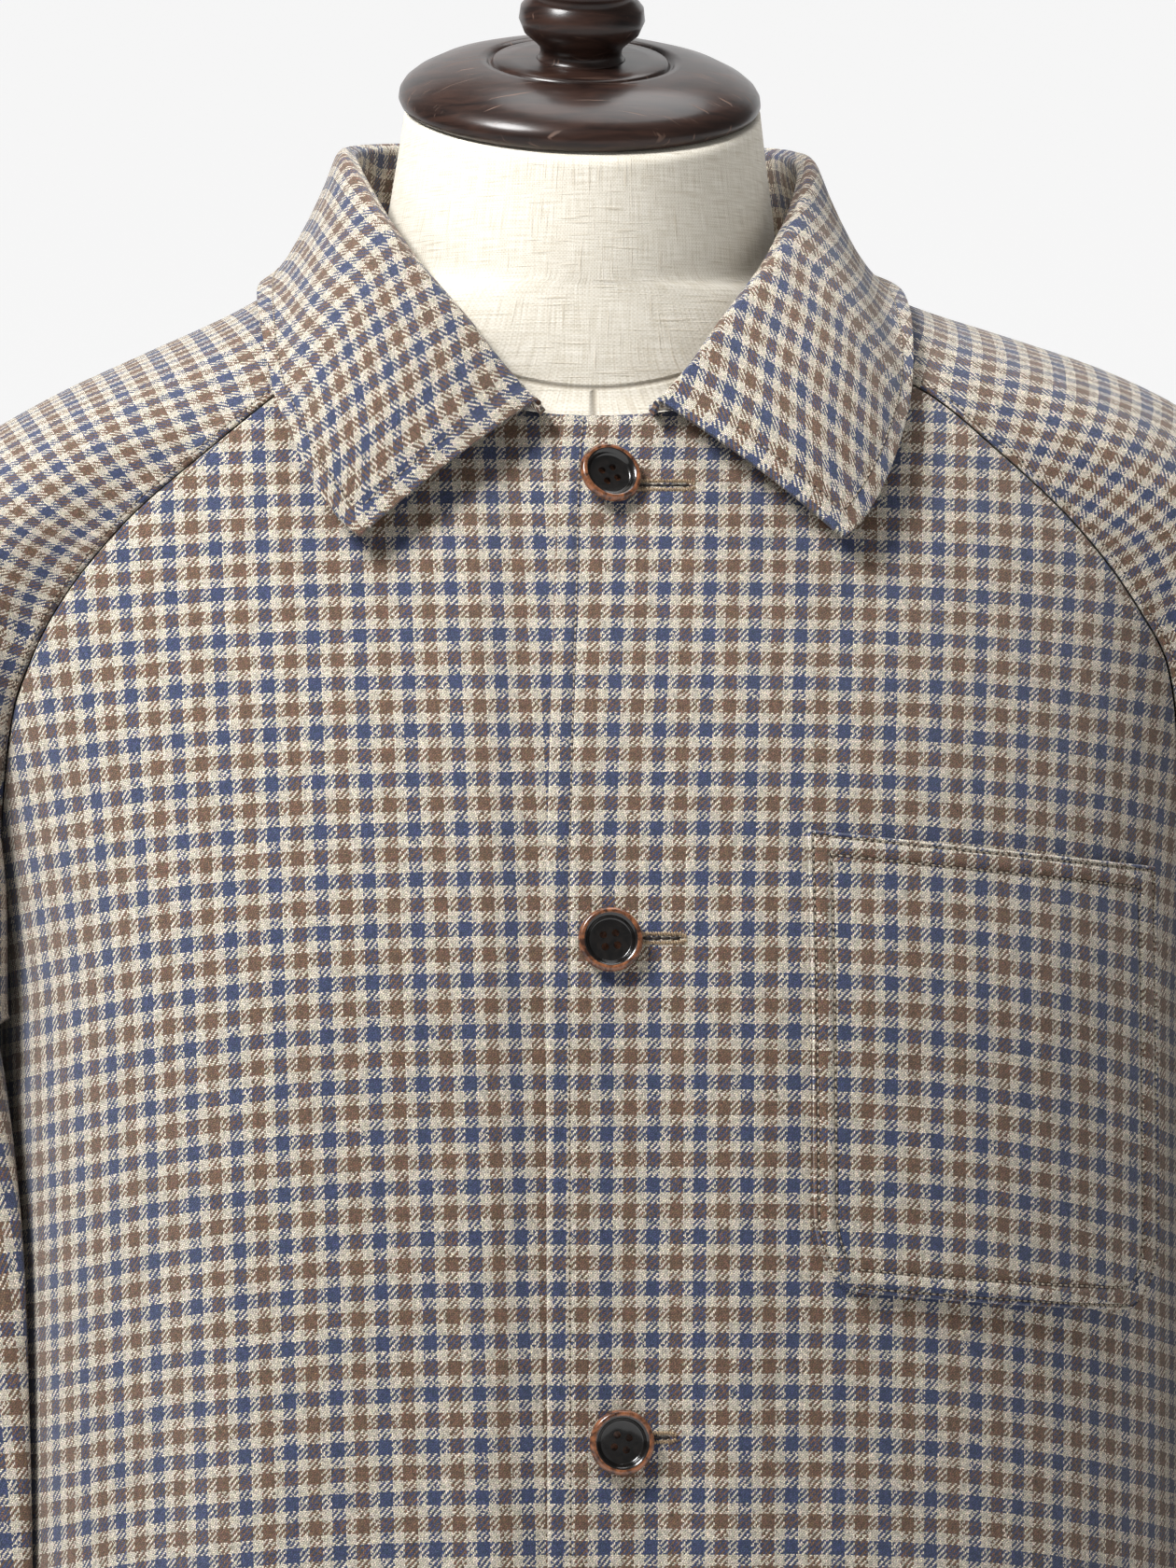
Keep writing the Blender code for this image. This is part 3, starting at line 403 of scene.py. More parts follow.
# The back of the jacket: one panel of the check twill, cut straight down to the hem, with its upper corners
# cut away for the raglan sleeves. It hangs in a few soft folds from the shoulder blades.
CLOTH = 0.0015
HEM_Z = 0.800
UNDERARM_Z = 1.240
FRONT_NECK_Z = 1.430
BACK_NECK_Z = 1.497
FRONT_RAGLAN_TOP_Z = 1.452
BACK_RAGLAN_TOP_Z = 1.487
UNDERLAP_X = 0.0155
UNDERLAP_STEP = 0.0021
UNDERLAP_END_X = 0.0245
UNDERLAP_FADE_X = 0.040
BODY = (
    ("z", "half_left", "half_right", "front", "back", "fullness"),
    (0.800, 0.207, 0.200, 0.152, 0.129, 2.80),
    (0.950, 0.203, 0.194, 0.150, 0.124, 2.90),
    (1.110, 0.201, 0.190, 0.147, 0.126, 3.00),
    (1.240, 0.200, 0.189, 0.139, 0.131, 3.00),
    (1.300, 0.204, 0.197, 0.128, 0.130, 2.70),
    (1.342, 0.209, 0.206, 0.116, 0.126, 2.50),
    (1.385, 0.214, 0.213, 0.099, 0.119, 2.35),
    (1.413, 0.205, 0.204, 0.0865, 0.112, 2.30),
    (1.430, 0.190, 0.189, 0.078, 0.105, 2.30),
    (1.446, 0.160, 0.159, 0.070, 0.097, 2.30),
    (1.456, 0.137, 0.136, 0.0645, 0.091, 2.30),
    (1.470, 0.110, 0.110, 0.058, 0.082, 2.30),
    (1.487, 0.088, 0.088, 0.052, 0.072, 2.30),
    (1.500, 0.080, 0.080, 0.048, 0.065, 2.30),
)
RAGLAN = (
    ("z", "front_left_x", "front_right_x", "back_x"),
    (1.3000, 0.1900, 0.1870, 0.1830),
    (1.3350, 0.1885, 0.1835, 0.1760),
    (1.3520, 0.1855, 0.1780, 0.1715),
    (1.3694, 0.1755, 0.1693, 0.1655),
    (1.3958, 0.1550, 0.1485, 0.1510),
    (1.4226, 0.1270, 0.1180, 0.1310),
    (1.4365, 0.1110, 0.1011, 0.1180),
    (1.4520, 0.0860, 0.0800, 0.1020),
    (1.4700, 0.0700, 0.0700, 0.0820),
    (1.4870, 0.0650, 0.0650, 0.0610),
)
BODY_FOLDS = (
    ("side", "face", "x_top", "x_low", "z_top", "z_low", "width", "depth"),
    (1, -1, -0.013, -0.015, 1.440, 0.760, 0.020, 0.0016),
    (1, -1, 0.038, 0.034, 1.420, 0.760, 0.024, 0.0026),
    (1, -1, 0.078, 0.070, 1.160, 0.760, 0.030, 0.0032),
    (-1, -1, 0.032, 0.036, 1.400, 0.760, 0.022, 0.0015),
    (-1, -1, 0.140, 0.142, 1.300, 0.800, 0.026, -0.0060),
    (-1, -1, 0.170, 0.174, 1.280, 0.800, 0.022, 0.0040),
    (-1, -1, 0.070, 0.086, 1.200, 0.780, 0.034, -0.0035),
    (1, -1, 0.085, 0.110, 1.130, 0.780, 0.036, -0.0045),
    (1, -1, 0.160, 0.165, 1.130, 0.780, 0.030, 0.0045),
    (1, -1, 0.040, 0.052, 1.000, 0.780, 0.026, 0.0025),
    (1, 1, 0.120, 0.128, 1.290, 0.790, 0.030, -0.0075),
    (-1, 1, 0.112, 0.122, 1.270, 0.790, 0.032, -0.0070),
    (1, 1, 0.160, 0.166, 1.250, 0.790, 0.026, 0.0045),
    (-1, 1, 0.156, 0.164, 1.240, 0.790, 0.026, 0.0050),
    (1, 1, 0.045, 0.060, 1.120, 0.780, 0.034, 0.0040),
    (-1, 1, 0.040, 0.052, 1.060, 0.780, 0.034, 0.0035),
)


def column(table, name):
    return np.array([row[table[0].index(name)] for row in table[1:]], float)


def through(keys, values, at):
    """Values of a smooth curve through a table's rows, which doesn't overshoot them."""
    steps = np.diff(keys)
    rises = np.diff(values) / steps
    slopes = np.zeros(len(keys))
    slopes[0], slopes[-1] = rises[0], rises[-1]
    before, after = rises[:-1], rises[1:]
    same_way = before * after > 0
    total = np.where(same_way, before + after, 1.0)
    slopes[1:-1] = np.where(same_way, 2 * before * after / total, 0.0)
    at = np.clip(at, keys[0], keys[-1])
    i = np.clip(np.searchsorted(keys, at) - 1, 0, len(steps) - 1)
    t = (at - keys[i]) / steps[i]
    rise = values[i + 1] - values[i]
    start, end = slopes[i] * steps[i], slopes[i + 1] * steps[i]
    return values[i] + t * (start + t * (3 * rise - 2 * start - end + t * (start + end - 2 * rise)))


def read(table, name, at):
    """A column's value where the table's first column reaches at, on a smooth curve."""
    return through(column(table, table[0][0]), column(table, name), at)


def ease(value):
    """A soft start and end between 0 and 1."""
    value = np.clip(value, 0.0, 1.0)
    return value * value * (3 - 2 * value)


def hump(offset, width):
    """1 in the middle, softly down to 0 at this width on both sides."""
    return np.cos(math.pi / 2 * np.minimum(np.abs(offset) / width, 1.0)) ** 2


def body_half(side, z):
    return read(BODY, "half_left" if side > 0 else "half_right", z)


def fold_depth(side, face, x, z):
    """How far the body's folds push the cloth out here. They fade in from their tops."""
    depth = np.zeros_like(x)
    for row in BODY_FOLDS[1:]:
        fold = dict(zip(BODY_FOLDS[0], row))
        if fold["side"] == side and fold["face"] == face:
            down = (fold["z_top"] - z) / (fold["z_top"] - fold["z_low"])
            middle = fold["x_top"] + (fold["x_low"] - fold["x_top"]) * np.clip(down, 0.0, 1.0)
            depth += fold["depth"] * hump(x - middle, fold["width"]) * ease(down * 1.4)
    return depth


def body_points(side, face, x, z, lift=0.0):
    """Points of the body's outer surface. x is how far out they are on their own side."""
    half = body_half(side, z)
    reach = read(BODY, "front" if face < 0 else "back", z)
    fullness = read(BODY, "fullness", z)
    share = np.minimum(np.abs(x) / half, 1.0)
    y = face * reach * np.sqrt(1 - share**fullness)
    out_x, out_y = side * x / half**2, y / reach**2
    length = np.hypot(out_x, out_y)
    lift = lift + fold_depth(side, face, x, z)
    if side < 0 and face < 0:
        lift = lift - UNDERLAP_STEP * ease((UNDERLAP_FADE_X - x) / (UNDERLAP_FADE_X - UNDERLAP_END_X))
    return np.stack([side * x + out_x / length * lift, y + out_y / length * lift, z], axis=-1)


def raglan_x(side, face, z):
    """How far out the raglan seam is at this height."""
    name = "back_x" if face > 0 else "front_left_x" if side > 0 else "front_right_x"
    heights = np.append([UNDERARM_Z], column(RAGLAN, "z"))
    reaches = np.append([body_half(side, UNDERARM_Z)], column(RAGLAN, name))
    return through(heights, reaches, z)


def spread(length, count, start_marks=(), end_marks=()):
    """Shares from 0 to 1, evenly spaced but for set distances from the two ends of a line of this length."""
    first = start_marks[-1] if start_marks else 0.0
    last = length - (end_marks[-1] if end_marks else 0.0)
    marks = list(start_marks[:-1]) + list(np.linspace(first, last, count + 1))
    marks += [length - mark for mark in end_marks[-2::-1]]
    return np.array(marks) / length


def panel_points(side, face, inner_x, centre_zs, outer_zs, shares):
    """A front or half of the back, from the centre line out to the side seam and the raglan seam."""
    rows = []
    for first_x, centre_z, outer_z in zip(inner_x, centre_zs, outer_zs):
        half = body_half(side, outer_z)
        outer_x = half if outer_z <= UNDERARM_Z else raglan_x(side, face, outer_z)
        first, last = math.asin(first_x / half), math.asin(min(outer_x / half, 1.0))
        x = half * np.sin(first + (last - first) * shares)
        z = centre_z + (outer_z - centre_z) * (x / outer_x) ** 2
        rows.append(body_points(side, face, x, z))
    return np.array(rows)


def row_heights(face, low_count, high_count):
    """Heights of a panel's rows at its centre and at its outer edge, closer together at the hem."""
    centre_top = FRONT_NECK_Z if face < 0 else BACK_NECK_Z
    outer_top = FRONT_RAGLAN_TOP_Z if face < 0 else BACK_RAGLAN_TOP_Z
    low = HEM_Z + (UNDERARM_Z - HEM_Z) * spread(UNDERARM_Z - HEM_Z, low_count, HEM_MARKS)[:-1]
    centres = np.linspace(UNDERARM_Z, centre_top, high_count + 1)
    outers = np.linspace(UNDERARM_Z, outer_top, high_count + 1)
    return np.append(low, centres), np.append(low, outers)


def outwards(points, face_from):
    """The way each point of a grid faces, away from an upright line."""
    down = np.gradient(points, axis=0)
    across = np.gradient(points, axis=1)
    normal = np.cross(down, across)
    normal /= np.maximum(np.linalg.norm(normal, axis=-1, keepdims=True), 1e-12)
    away = points - np.array([face_from[0], face_from[1], 0.0])
    away[..., 2] = 0.0
    return normal * (1 if (normal * away).sum() > 0 else -1)


HEM_MARKS = (0.0, 0.0004, 0.0009, 0.0016, 0.0030)
SEAM_MARKS = (0.0, 0.0006, 0.0012, 0.0022, 0.0040)
TURN_R = 0.0011


def turned_edge(distance, radius=TURN_R):
    """How far a folded edge drops away as it nears its fold."""
    share = np.clip(1 - distance / (1.5 * radius), 0.0, 1.0)
    return -radius * (1 - np.sqrt(1 - share**2))


def add_wall(piece, thickness, offset=-1.0):
    """Gives a sheet the thickness of its cloth."""
    wall = piece.modifiers.new("thickness", "SOLIDIFY")
    wall.thickness = thickness
    wall.offset = offset
    wall.use_even_offset = False


BAND_THREADS = 8
REPEAT_WIDE = 0.0143
REPEAT_HIGH = 0.0157
BLUE_ROW_Z = 1.3002
THREAD_DRIFT = 0.8
FLIP_SPREAD, FLIP_LIMIT = 1.55, 2.28
BLUE, CREAM, BROWN = (62, 74, 110), (222, 212, 194), (120, 92, 72)


def check_material():
    """The check, thread by thread: bands of blue, cream, brown and cream yarn both ways, in a 2/2 twill."""
    look = Look("check_twill")
    make, calc = look.make, look.calc
    cut = make("UVMap", uv_map="cut")[0]
    drift = make("TexNoise", {"Vector": cut, "Scale": 190.0, "Detail": 3.0, "Roughness": 0.65})["Color"]
    place, pull = make("SeparateXYZ", {0: cut}), make("SeparateXYZ", {0: drift})
    threads = []
    for i, repeat in enumerate((REPEAT_WIDE, REPEAT_HIGH)):
        plain = calc("MULTIPLY", place[i], 4 * BAND_THREADS / repeat)
        run = calc("ADD", plain, calc("MULTIPLY_ADD", pull[i], 2 * THREAD_DRIFT, -THREAD_DRIFT))
        whole = calc("FLOOR", run)
        threads.append((whole, calc("SUBTRACT", run, whole), run))
    (end, in_end, end_run), (pick, in_pick, pick_run) = threads
    step = calc("FLOORED_MODULO", calc("SUBTRACT", end, pick), 4.0)
    crossing = make("CombineXYZ", {0: end, 1: pick})[0]
    chance = make("TexWhiteNoise", {"Vector": crossing}, noise_dimensions="2D")[0]
    warp_up = calc("LESS_THAN", calc("MULTIPLY_ADD", chance, FLIP_SPREAD, step), FLIP_LIMIT)

    def either(warp, weft):
        return make("Mix", {0: warp_up, 2: weft, 3: warp}, data_type="FLOAT")[0]

    across = either(in_end, in_pick)
    along_warp = calc("ADD", calc("SUBTRACT", 1.0, step), in_pick)
    along_weft = calc("ADD", calc("SUBTRACT", step, 2.0), in_end)
    half_turns = calc("MULTIPLY", either(along_warp, along_weft), math.pi / 2)
    round_across = calc("POWER", calc("SINE", calc("MULTIPLY", across, math.pi)), 0.6)
    round_along = calc("POWER", calc("ABSOLUTE", calc("SINE", half_turns)), 0.5)
    height = calc("MULTIPLY", round_across, round_along)

    colours = []
    for thread in (end, pick):
        from_blue = calc("ADD", thread, BAND_THREADS / 2 + 0.5)
        share = calc("FRACT", calc("DIVIDE", from_blue, 4.0 * BAND_THREADS))
        bands = ((0.0, BLUE), (0.28, CREAM), (0.50, BROWN), (0.78, CREAM))
        colours.append(look.ramp(share, *bands, interpolation="CONSTANT"))
    yarn = look.mix(warp_up, colours[1], colours[0])

    own = either(calc("MULTIPLY", end, 1.37), calc("MULTIPLY", pick, 1.37))
    further = either(calc("MULTIPLY", pick_run, 0.33), calc("MULTIPLY", end_run, 0.4))
    seeds = make("CombineXYZ", {0: own, 1: further, 2: either(3.0, 40.0)})[0]
    heather = make("TexNoise", {"Vector": seeds, "Scale": 1.0, "Detail": 2.0, "Roughness": 0.7})
    tint = look.mix(0.5, yarn, heather["Color"], "SOFT_LIGHT")
    fuzz = look.noise(cut, 1250.0, 3.0, Distortion=1.2)
    fibre = calc("MULTIPLY_ADD", heather[0], 2.2, -0.10)
    fibre = calc("MULTIPLY", fibre, calc("MULTIPLY_ADD", fuzz, 1.8, 0.10))
    # The yarn colour is darkened where the yarn dips between crossings, using the same height that shapes the
    # bump. This is painted shade between the yarns, laid on top of each yarn's own uneven tone.
    yarn_tone_and_painted_shade = calc("MULTIPLY", fibre, calc("MULTIPLY_ADD", height, 1.0, 0.16))
    tone_and_painted_shade_grey = make("CombineColor", {0: yarn_tone_and_painted_shade, 1: yarn_tone_and_painted_shade, 2: yarn_tone_and_painted_shade})[0]
    relief = calc("ADD", calc("MULTIPLY", height, 0.7), calc("MULTIPLY", fuzz, 0.6))
    return look.finish(
        look.mix(1.0, tint, tone_and_painted_shade_grey, "MULTIPLY"),
        0.88,
        look.bump(relief, 0.00022, 0.9),
        Sheen_Weight=0.25,
        Sheen_Roughness=0.6,
        Specular_IOR_Level=0.25,
    )


cloth = check_material()
trees = []


def add_panel(name, points, uv, node, face_from, closed=False):
    """Adds a panel of the check cloth, and keeps its surface for what lies on it."""
    mesh = turned_outwards(sheet_mesh(name, points, uv, closed), *face_from)
    sheet = bmesh.new()
    sheet.from_mesh(mesh)
    trees.append(BVHTree.FromBMesh(sheet))
    sheet.free()
    piece = add_piece(name, mesh, cloth, node, "check_cloth")
    add_wall(piece, CLOTH)
    return piece


def climb(face, z):
    """How far up the cloth a height is, from the blue row at the pocket's top."""
    heights = np.linspace(HEM_Z - 0.01, BACK_NECK_Z + 0.01, 240)
    reach = read(BODY, "front" if face < 0 else "back", heights)
    runs = run_lengths(np.stack([reach, heights], axis=-1), 0)
    return np.interp(z, heights, runs) - np.interp(BLUE_ROW_Z, heights, runs)


STITCH_PITCH = 0.0023
STITCH = (0.00086, 0.00032, 0.00026)
NEEDLE_HOLE_SHADE = (0.00042, 0.00046, 0.00016)
HEM_STITCH = 0.018


def thread_material(name, dark, light):
    """Spun sewing thread, a little glossy, with a painted highlight: lighter where it bulges. The same
    material in near-black gives the painted shade of needle holes and buttonhole slits.
    """
    look = Look(name)
    # One noise gives the thread's bulges and, through the colour ramp, a painted highlight on them.
    twist_and_highlight = look.noise(look.place(), 2600.0, 2.0)
    return look.finish(look.ramp(twist_and_highlight, (0.35, dark), (0.65, light)), 0.6, look.bump(twist_and_highlight, 0.00008, 0.5))


def line_on(points, normal, runs, at, lift=0.0):
    """The line on a sheet where its rows have run this far, and the way the sheet faces along it."""
    at = np.broadcast_to(at, len(points))
    places, facings = [], []
    for row, ways, far, stop in zip(points, normal, runs, at):
        places.append([np.interp(stop, far, row[:, i]) for i in range(3)])
        facings.append([np.interp(stop, far, ways[:, i]) for i in range(3)])
    places, facings = np.array(places), np.array(facings)
    return places + facings * lift, facings


def line_across(points, normal, runs, at, lift=0.0):
    """The line on a sheet where its columns have run this far, and the way the sheet faces along it."""
    return line_on(points.swapaxes(0, 1), normal.swapaxes(0, 1), runs.T, at, lift)


def add_row(shape, places, facings, pitch=STITCH_PITCH, size=STITCH, slant_deg=0.0, holes=True):
    """A row of stitches: short beads of thread, half sunk in the cloth, between small near-black beads that
    paint the shade of the needle holes.
    """
    runs = run_lengths(places, 0)
    count = max(round(runs[-1] / pitch), 1)
    for i in range(count):
        stops = [(i + part) / count * runs[-1] for part in (0.3, 0.5, 0.7)]
        back, where, on = (Vector([np.interp(stop, runs, places[:, k]) for k in range(3)]) for stop in stops)
        up = Vector([np.interp(stops[1], runs, facings[:, k]) for k in range(3)]).normalized()
        beside = up.cross(on - back).normalized()
        turn = Matrix((beside.cross(up), beside, up)).transposed()
        turn = turn @ Matrix.Rotation(math.radians(slant_deg), 3, "Z")
        place = Matrix.Translation(where) @ turn.to_4x4() @ Matrix.Diagonal((*size, 1.0))
        bmesh.ops.create_icosphere(shape, subdivisions=1, radius=1.0, matrix=place)
        # Each needle hole is a small near-black bead on the cloth: painted shade, not a real hole.
        if holes:
            behind = Matrix.Translation(where - (on - back).normalized() * pitch / 2)
            place = behind @ turn.to_4x4() @ Matrix.Diagonal((*NEEDLE_HOLE_SHADE, 1.0))
            hole = bmesh.ops.create_icosphere(shape, subdivisions=1, radius=1.0, matrix=place)
            for face in {face for corner in hole["verts"] for face in corner.link_faces}:
                face.material_index = 1


def add_sewing(name, lines, node, material, **stitch):
    """One piece with all the rows of stitches of a panel."""
    shape = bmesh.new()
    for places, facings in lines:
        add_row(shape, places, facings, **stitch)
    piece = add_piece(name, mesh_of(name, shape), material, node, "check_cloth")
    # The second material is the painted shade of the needle holes.
    piece.data.materials.append(painted_hole_shade)
    return piece


# Near-black beads that stand for the needle holes: painted shade.
painted_hole_shade = thread_material("needle_hole_painted_shade", (34, 27, 23), (66, 54, 46))
pale_thread = thread_material("pale_thread", (128, 112, 94), (206, 194, 174))

BACK_ROWS = (110, 75)
BACK_HALF_COLUMNS = 66
BACK_HALF = 0.20
centre_zs, outer_zs = row_heights(1, *BACK_ROWS)
shares = spread(BACK_HALF, BACK_HALF_COLUMNS, (), SEAM_MARKS)
halves = [panel_points(side, 1, np.zeros(len(centre_zs)), centre_zs, outer_zs, shares) for side in (1, -1)]
points = np.concatenate([halves[0][:, :0:-1], halves[1]], axis=1)
normal = outwards(points, (0, 0))
along, down = run_lengths(points, 1), run_lengths(points, 0)
edge = turned_edge(along) + turned_edge(along[:, -1:] - along) + turned_edge(down)
points += normal * edge[..., None]
middle = halves[0].shape[1] - 1
uv = np.stack([along[:, middle : middle + 1] - along, climb(1, points[..., 2])], axis=-1)
back_panel = add_panel("back_panel", points, uv, "back", (0, 0))
hem_row = line_across(points, normal, down, HEM_STITCH)
back_sewing = add_sewing("back_sewing", [hem_row], "back", pale_thread)


# The right front, which lies under the left one: a straight panel with its front edge turned under.
# The left front laps over it, so only the part beyond the placket shows.
PLACKET = (
    ("z", "x"),
    (0.8000, -0.0198),
    (1.1500, -0.0203),
    (1.2680, -0.0198),
    (1.3200, -0.0180),
    (1.3780, -0.0148),
    (1.4130, -0.0128),
    (1.4300, -0.0108),
)
PLACKET_MARKS = (0.0, 0.0004, 0.0009, 0.0016, 0.0030, 0.0050, 0.0060, 0.0066, 0.0070, 0.0074, 0.0080, 0.0095)


FRONT_ROWS = (120, 75)
FRONT_COLUMNS = 72
FRONT_WIDE = 0.23


def front_points(side):
    """A front, from its front edge out to the side seam and the raglan seam."""
    centre_zs, outer_zs = row_heights(-1, *FRONT_ROWS)
    if side > 0:
        inner = read(PLACKET, "x", centre_zs)
    else:
        inner = np.full(len(centre_zs), -UNDERLAP_X)
    shares = spread(FRONT_WIDE, FRONT_COLUMNS, PLACKET_MARKS, SEAM_MARKS)
    return panel_points(side, -1, inner, centre_zs, outer_zs, shares)


DROOP = 0.0175
DROOPS = (("z", "share"), (0.80, 1.0), (1.20, 1.0), (1.29, 0.62), (1.35, 0.40), (1.46, 0.30))
LEFT_BLUE_IN = 0.0183
RIGHT_BLUE_X = 0.0432
RIGHT_DRIFT = 0.024
LEFT_DRIFT = 0.009
DRIFT_FROM_Z = 1.21
DROOP_FULL_X = 0.17
EDGE_STITCH = 0.007
EDGE_R = 0.0006
EDGE_GROOVE = 0.0009


def front_cut(side, x, z):
    """Where a point of a front lies in its check: how far across, and how far up. The rows droop outwards."""
    first = read(PLACKET, "x", z) if side > 0 else np.zeros_like(x)
    line_x = first[..., None] + (x - first)[..., None] * np.linspace(0, 1, 25)
    line_z = np.broadcast_to(z[..., None], line_x.shape)
    across = run_lengths(body_points(side, -1, line_x, line_z), x.ndim)[..., -1]
    easy = across * (1 - 1.2 * across**2)
    if side > 0:
        u = easy * np.sign(x - first) - LEFT_BLUE_IN - LEFT_DRIFT * (z - DRIFT_FROM_Z)
    else:
        u = RIGHT_BLUE_X + RIGHT_DRIFT * (z - DRIFT_FROM_Z) - easy
    droop = DROOP * read(DROOPS, "share", z) * (np.abs(x) / DROOP_FULL_X) ** 3.2
    return np.stack([u, climb(-1, z) + droop], axis=-1)


def add_front(name, side, node):
    """A front with its turned edges, and its rows of stitches at the front edge and the hem."""
    points = front_points(side)
    normal = outwards(points, (0, 0))
    along, down = run_lengths(points, 1), run_lengths(points, 0)
    uv = front_cut(side, side * points[..., 0], points[..., 2])
    tug = 0.7 + 0.3 * np.sin(down / 0.0105 + 2.0 * np.sin(down / 0.031))
    edge = turned_edge(along, EDGE_R) + turned_edge(along[:, -1:] - along) + turned_edge(down)
    edge -= EDGE_GROOVE * tug * hump(along - EDGE_STITCH, 0.0016)
    points = points + normal * edge[..., None]
    panel = add_panel(name, points, uv, node, (0, 0))
    edge_row = line_on(points, normal, along, EDGE_STITCH)
    hem_row = line_across(points, normal, down, HEM_STITCH)
    return panel, add_sewing(name.replace("panel", "sewing"), [edge_row, hem_row], node, pale_thread)


front_right_panel, front_right_sewing = add_front("front_right_panel", -1, "front_right")


# The left front, with the chest pocket's place and the buttonholes. Its front edge is turned under and held
# by a row of stitches 7 mm in.
front_left_panel, front_left_sewing = add_front("front_left_panel", 1, "front_left")

BUTTONHOLES = (("end_x", "z"), (0.0304, 1.4076), (0.0233, 1.2668), (0.0192, 1.1152), (0.0195, 0.9625))
BUTTONHOLE_LENGTH = 0.025
BUTTONHOLE_ROW = 0.00135
tan_thread = thread_material("buttonhole_thread", (92, 70, 52), (190, 166, 132))
# The slit down each buttonhole is a row of flat near-black beads: painted shade in the cut, not thread.
painted_slit_shade = thread_material("buttonhole_slit_painted_shade", (26, 20, 18), (48, 38, 32))


def row_on_front(x, z, lift):
    """Places a little off the left front, and the way the cloth faces there."""
    places = body_points(1, -1, x, z, lift)
    return places, body_points(1, -1, x, z, lift + 0.001) - places


rows, slit_shade_beads = [], bmesh.new()
for end_x, z in BUTTONHOLES[1:]:
    x = np.linspace(end_x - BUTTONHOLE_LENGTH, end_x, 40)
    apart = BUTTONHOLE_ROW * np.sqrt(np.clip((end_x + 0.0004 - x) / 0.0025, 0.0, 1.0))
    for way in (1, -1):
        places, facings = row_on_front(x, z + way * apart, 0.0002)
        rows.append((places[::way], facings[::way]))
    # Flat dark beads along the middle of the buttonhole: painted shade of the slit.
    places, facings = row_on_front(x, np.full_like(x, z), 0.0001)
    add_row(slit_shade_beads, places[:-3], facings[:-3], 0.0030, (0.0020, 0.0006, 0.0002), holes=False)
whipped = {"pitch": 0.00082, "size": (0.00042, 0.00085, 0.00042), "slant_deg": 24.0, "holes": False}
buttonholes = add_sewing("buttonholes", rows, "front_left", tan_thread, **whipped)
slit_shade_beads = mesh_of("buttonhole_slit_shades", slit_shade_beads)
buttonhole_slit_shades = add_piece("buttonhole_slit_shades", slit_shade_beads, painted_slit_shade, "front_left", "check_cloth")


# The raglan sleeves: one piece each, running up to the neckline and sewn to the body by two slanting seams.
# They hang empty, pressed flat against the jacket's sides.
CAP = (
    ("share", "ridge_x", "ridge_z", "depth"),
    (0.000, 0.0830, 1.4830, 0.050),
    (0.070, 0.1150, 1.4660, 0.058),
    (0.127, 0.1460, 1.4540, 0.064),
    (0.182, 0.1720, 1.4435, 0.070),
    (0.243, 0.1960, 1.4305, 0.074),
    (0.314, 0.2170, 1.4130, 0.076),
    (0.410, 0.2330, 1.3880, 0.077),
    (0.538, 0.2450, 1.3540, 0.077),
    (0.740, 0.2540, 1.3020, 0.076),
    (1.000, 0.2590, 1.2400, 0.075),
)
ARM = (
    ("z", "clear", "left_x", "right_x", "centre_y", "thick", "depth", "lean_left", "lean_right"),
    (0.815, 0.0050, 0.2330, 0.2205, -0.0450, 0.0250, 0.0560, 14.0, 38.0),
    (0.900, 0.0050, 0.2350, 0.2195, -0.0390, 0.0270, 0.0620, 15.0, 39.0),
    (1.030, 0.0045, 0.2355, 0.2180, -0.0280, 0.0290, 0.0690, 14.0, 39.0),
    (1.150, 0.0045, 0.2345, 0.2205, -0.0140, 0.0300, 0.0735, 11.0, 34.0),
    (1.215, 0.0035, 0.2315, 0.2265, -0.0030, 0.0298, 0.0748, 8.0, 26.0),
    (1.240, 0.0020, 0.2305, 0.2295, 0.0000, 0.0295, 0.0750, 7.0, 22.0),
)
SLEEVE_FOLDS = (
    ("side", "at", "turn_deg", "lean_deg", "reach", "width_deg", "depth"),
    (1, 1.12, 112, 60, 0.34, 26, -0.0055),
    (1, 0.98, 150, -120, 0.22, 24, -0.0045),
    (1, 1.02, 250, 80, 0.30, 28, -0.0055),
    (1, 0.90, 75, 150, 0.16, 26, 0.0040),
    (-1, 1.14, 108, 75, 0.32, 26, -0.0055),
    (-1, 1.00, 155, -100, 0.24, 24, -0.0045),
    (-1, 1.04, 245, 60, 0.30, 28, -0.0060),
    (-1, 0.88, 80, 130, 0.15, 26, 0.0040),
)
CUFF_Z = 0.815
SECTION_POWER = 0.86
ARM_SOFTNESS = 0.004
SEAM_FLAT = 0.050
SEAM_FLATTENED = 0.65
SEAM_STITCH = 0.0022
SLEEVE_X = 0.225
CAP_ROWS, ARM_ROWS = 86, 130
SHOULDER_TILT = {1: 0.085, -1: -0.055}


def unit(vector):
    return vector / np.linalg.norm(vector)


def turned_about_z(points, angle):
    """Points turned about the upright axis."""
    c, s = math.cos(angle), math.sin(angle)
    x, y, z = np.moveaxis(np.asarray(points), -1, 0)
    return np.stack([c * x - s * y, s * x + c * y, z], axis=-1)


def sleeve_fold_depth(side, z, turns):
    """How far the sleeve's folds push the cloth out, each winding round the arm as it falls."""
    depth = np.zeros_like(turns)
    for row in SLEEVE_FOLDS[1:]:
        fold = dict(zip(SLEEVE_FOLDS[0], row))
        if fold["side"] == side:
            middle = fold["turn_deg"] + fold["lean_deg"] * (fold["at"] - z)
            across = hump(np.degrees(turns) - middle, fold["width_deg"])
            depth += fold["depth"] * across * hump(z - fold["at"], fold["reach"])
    return depth


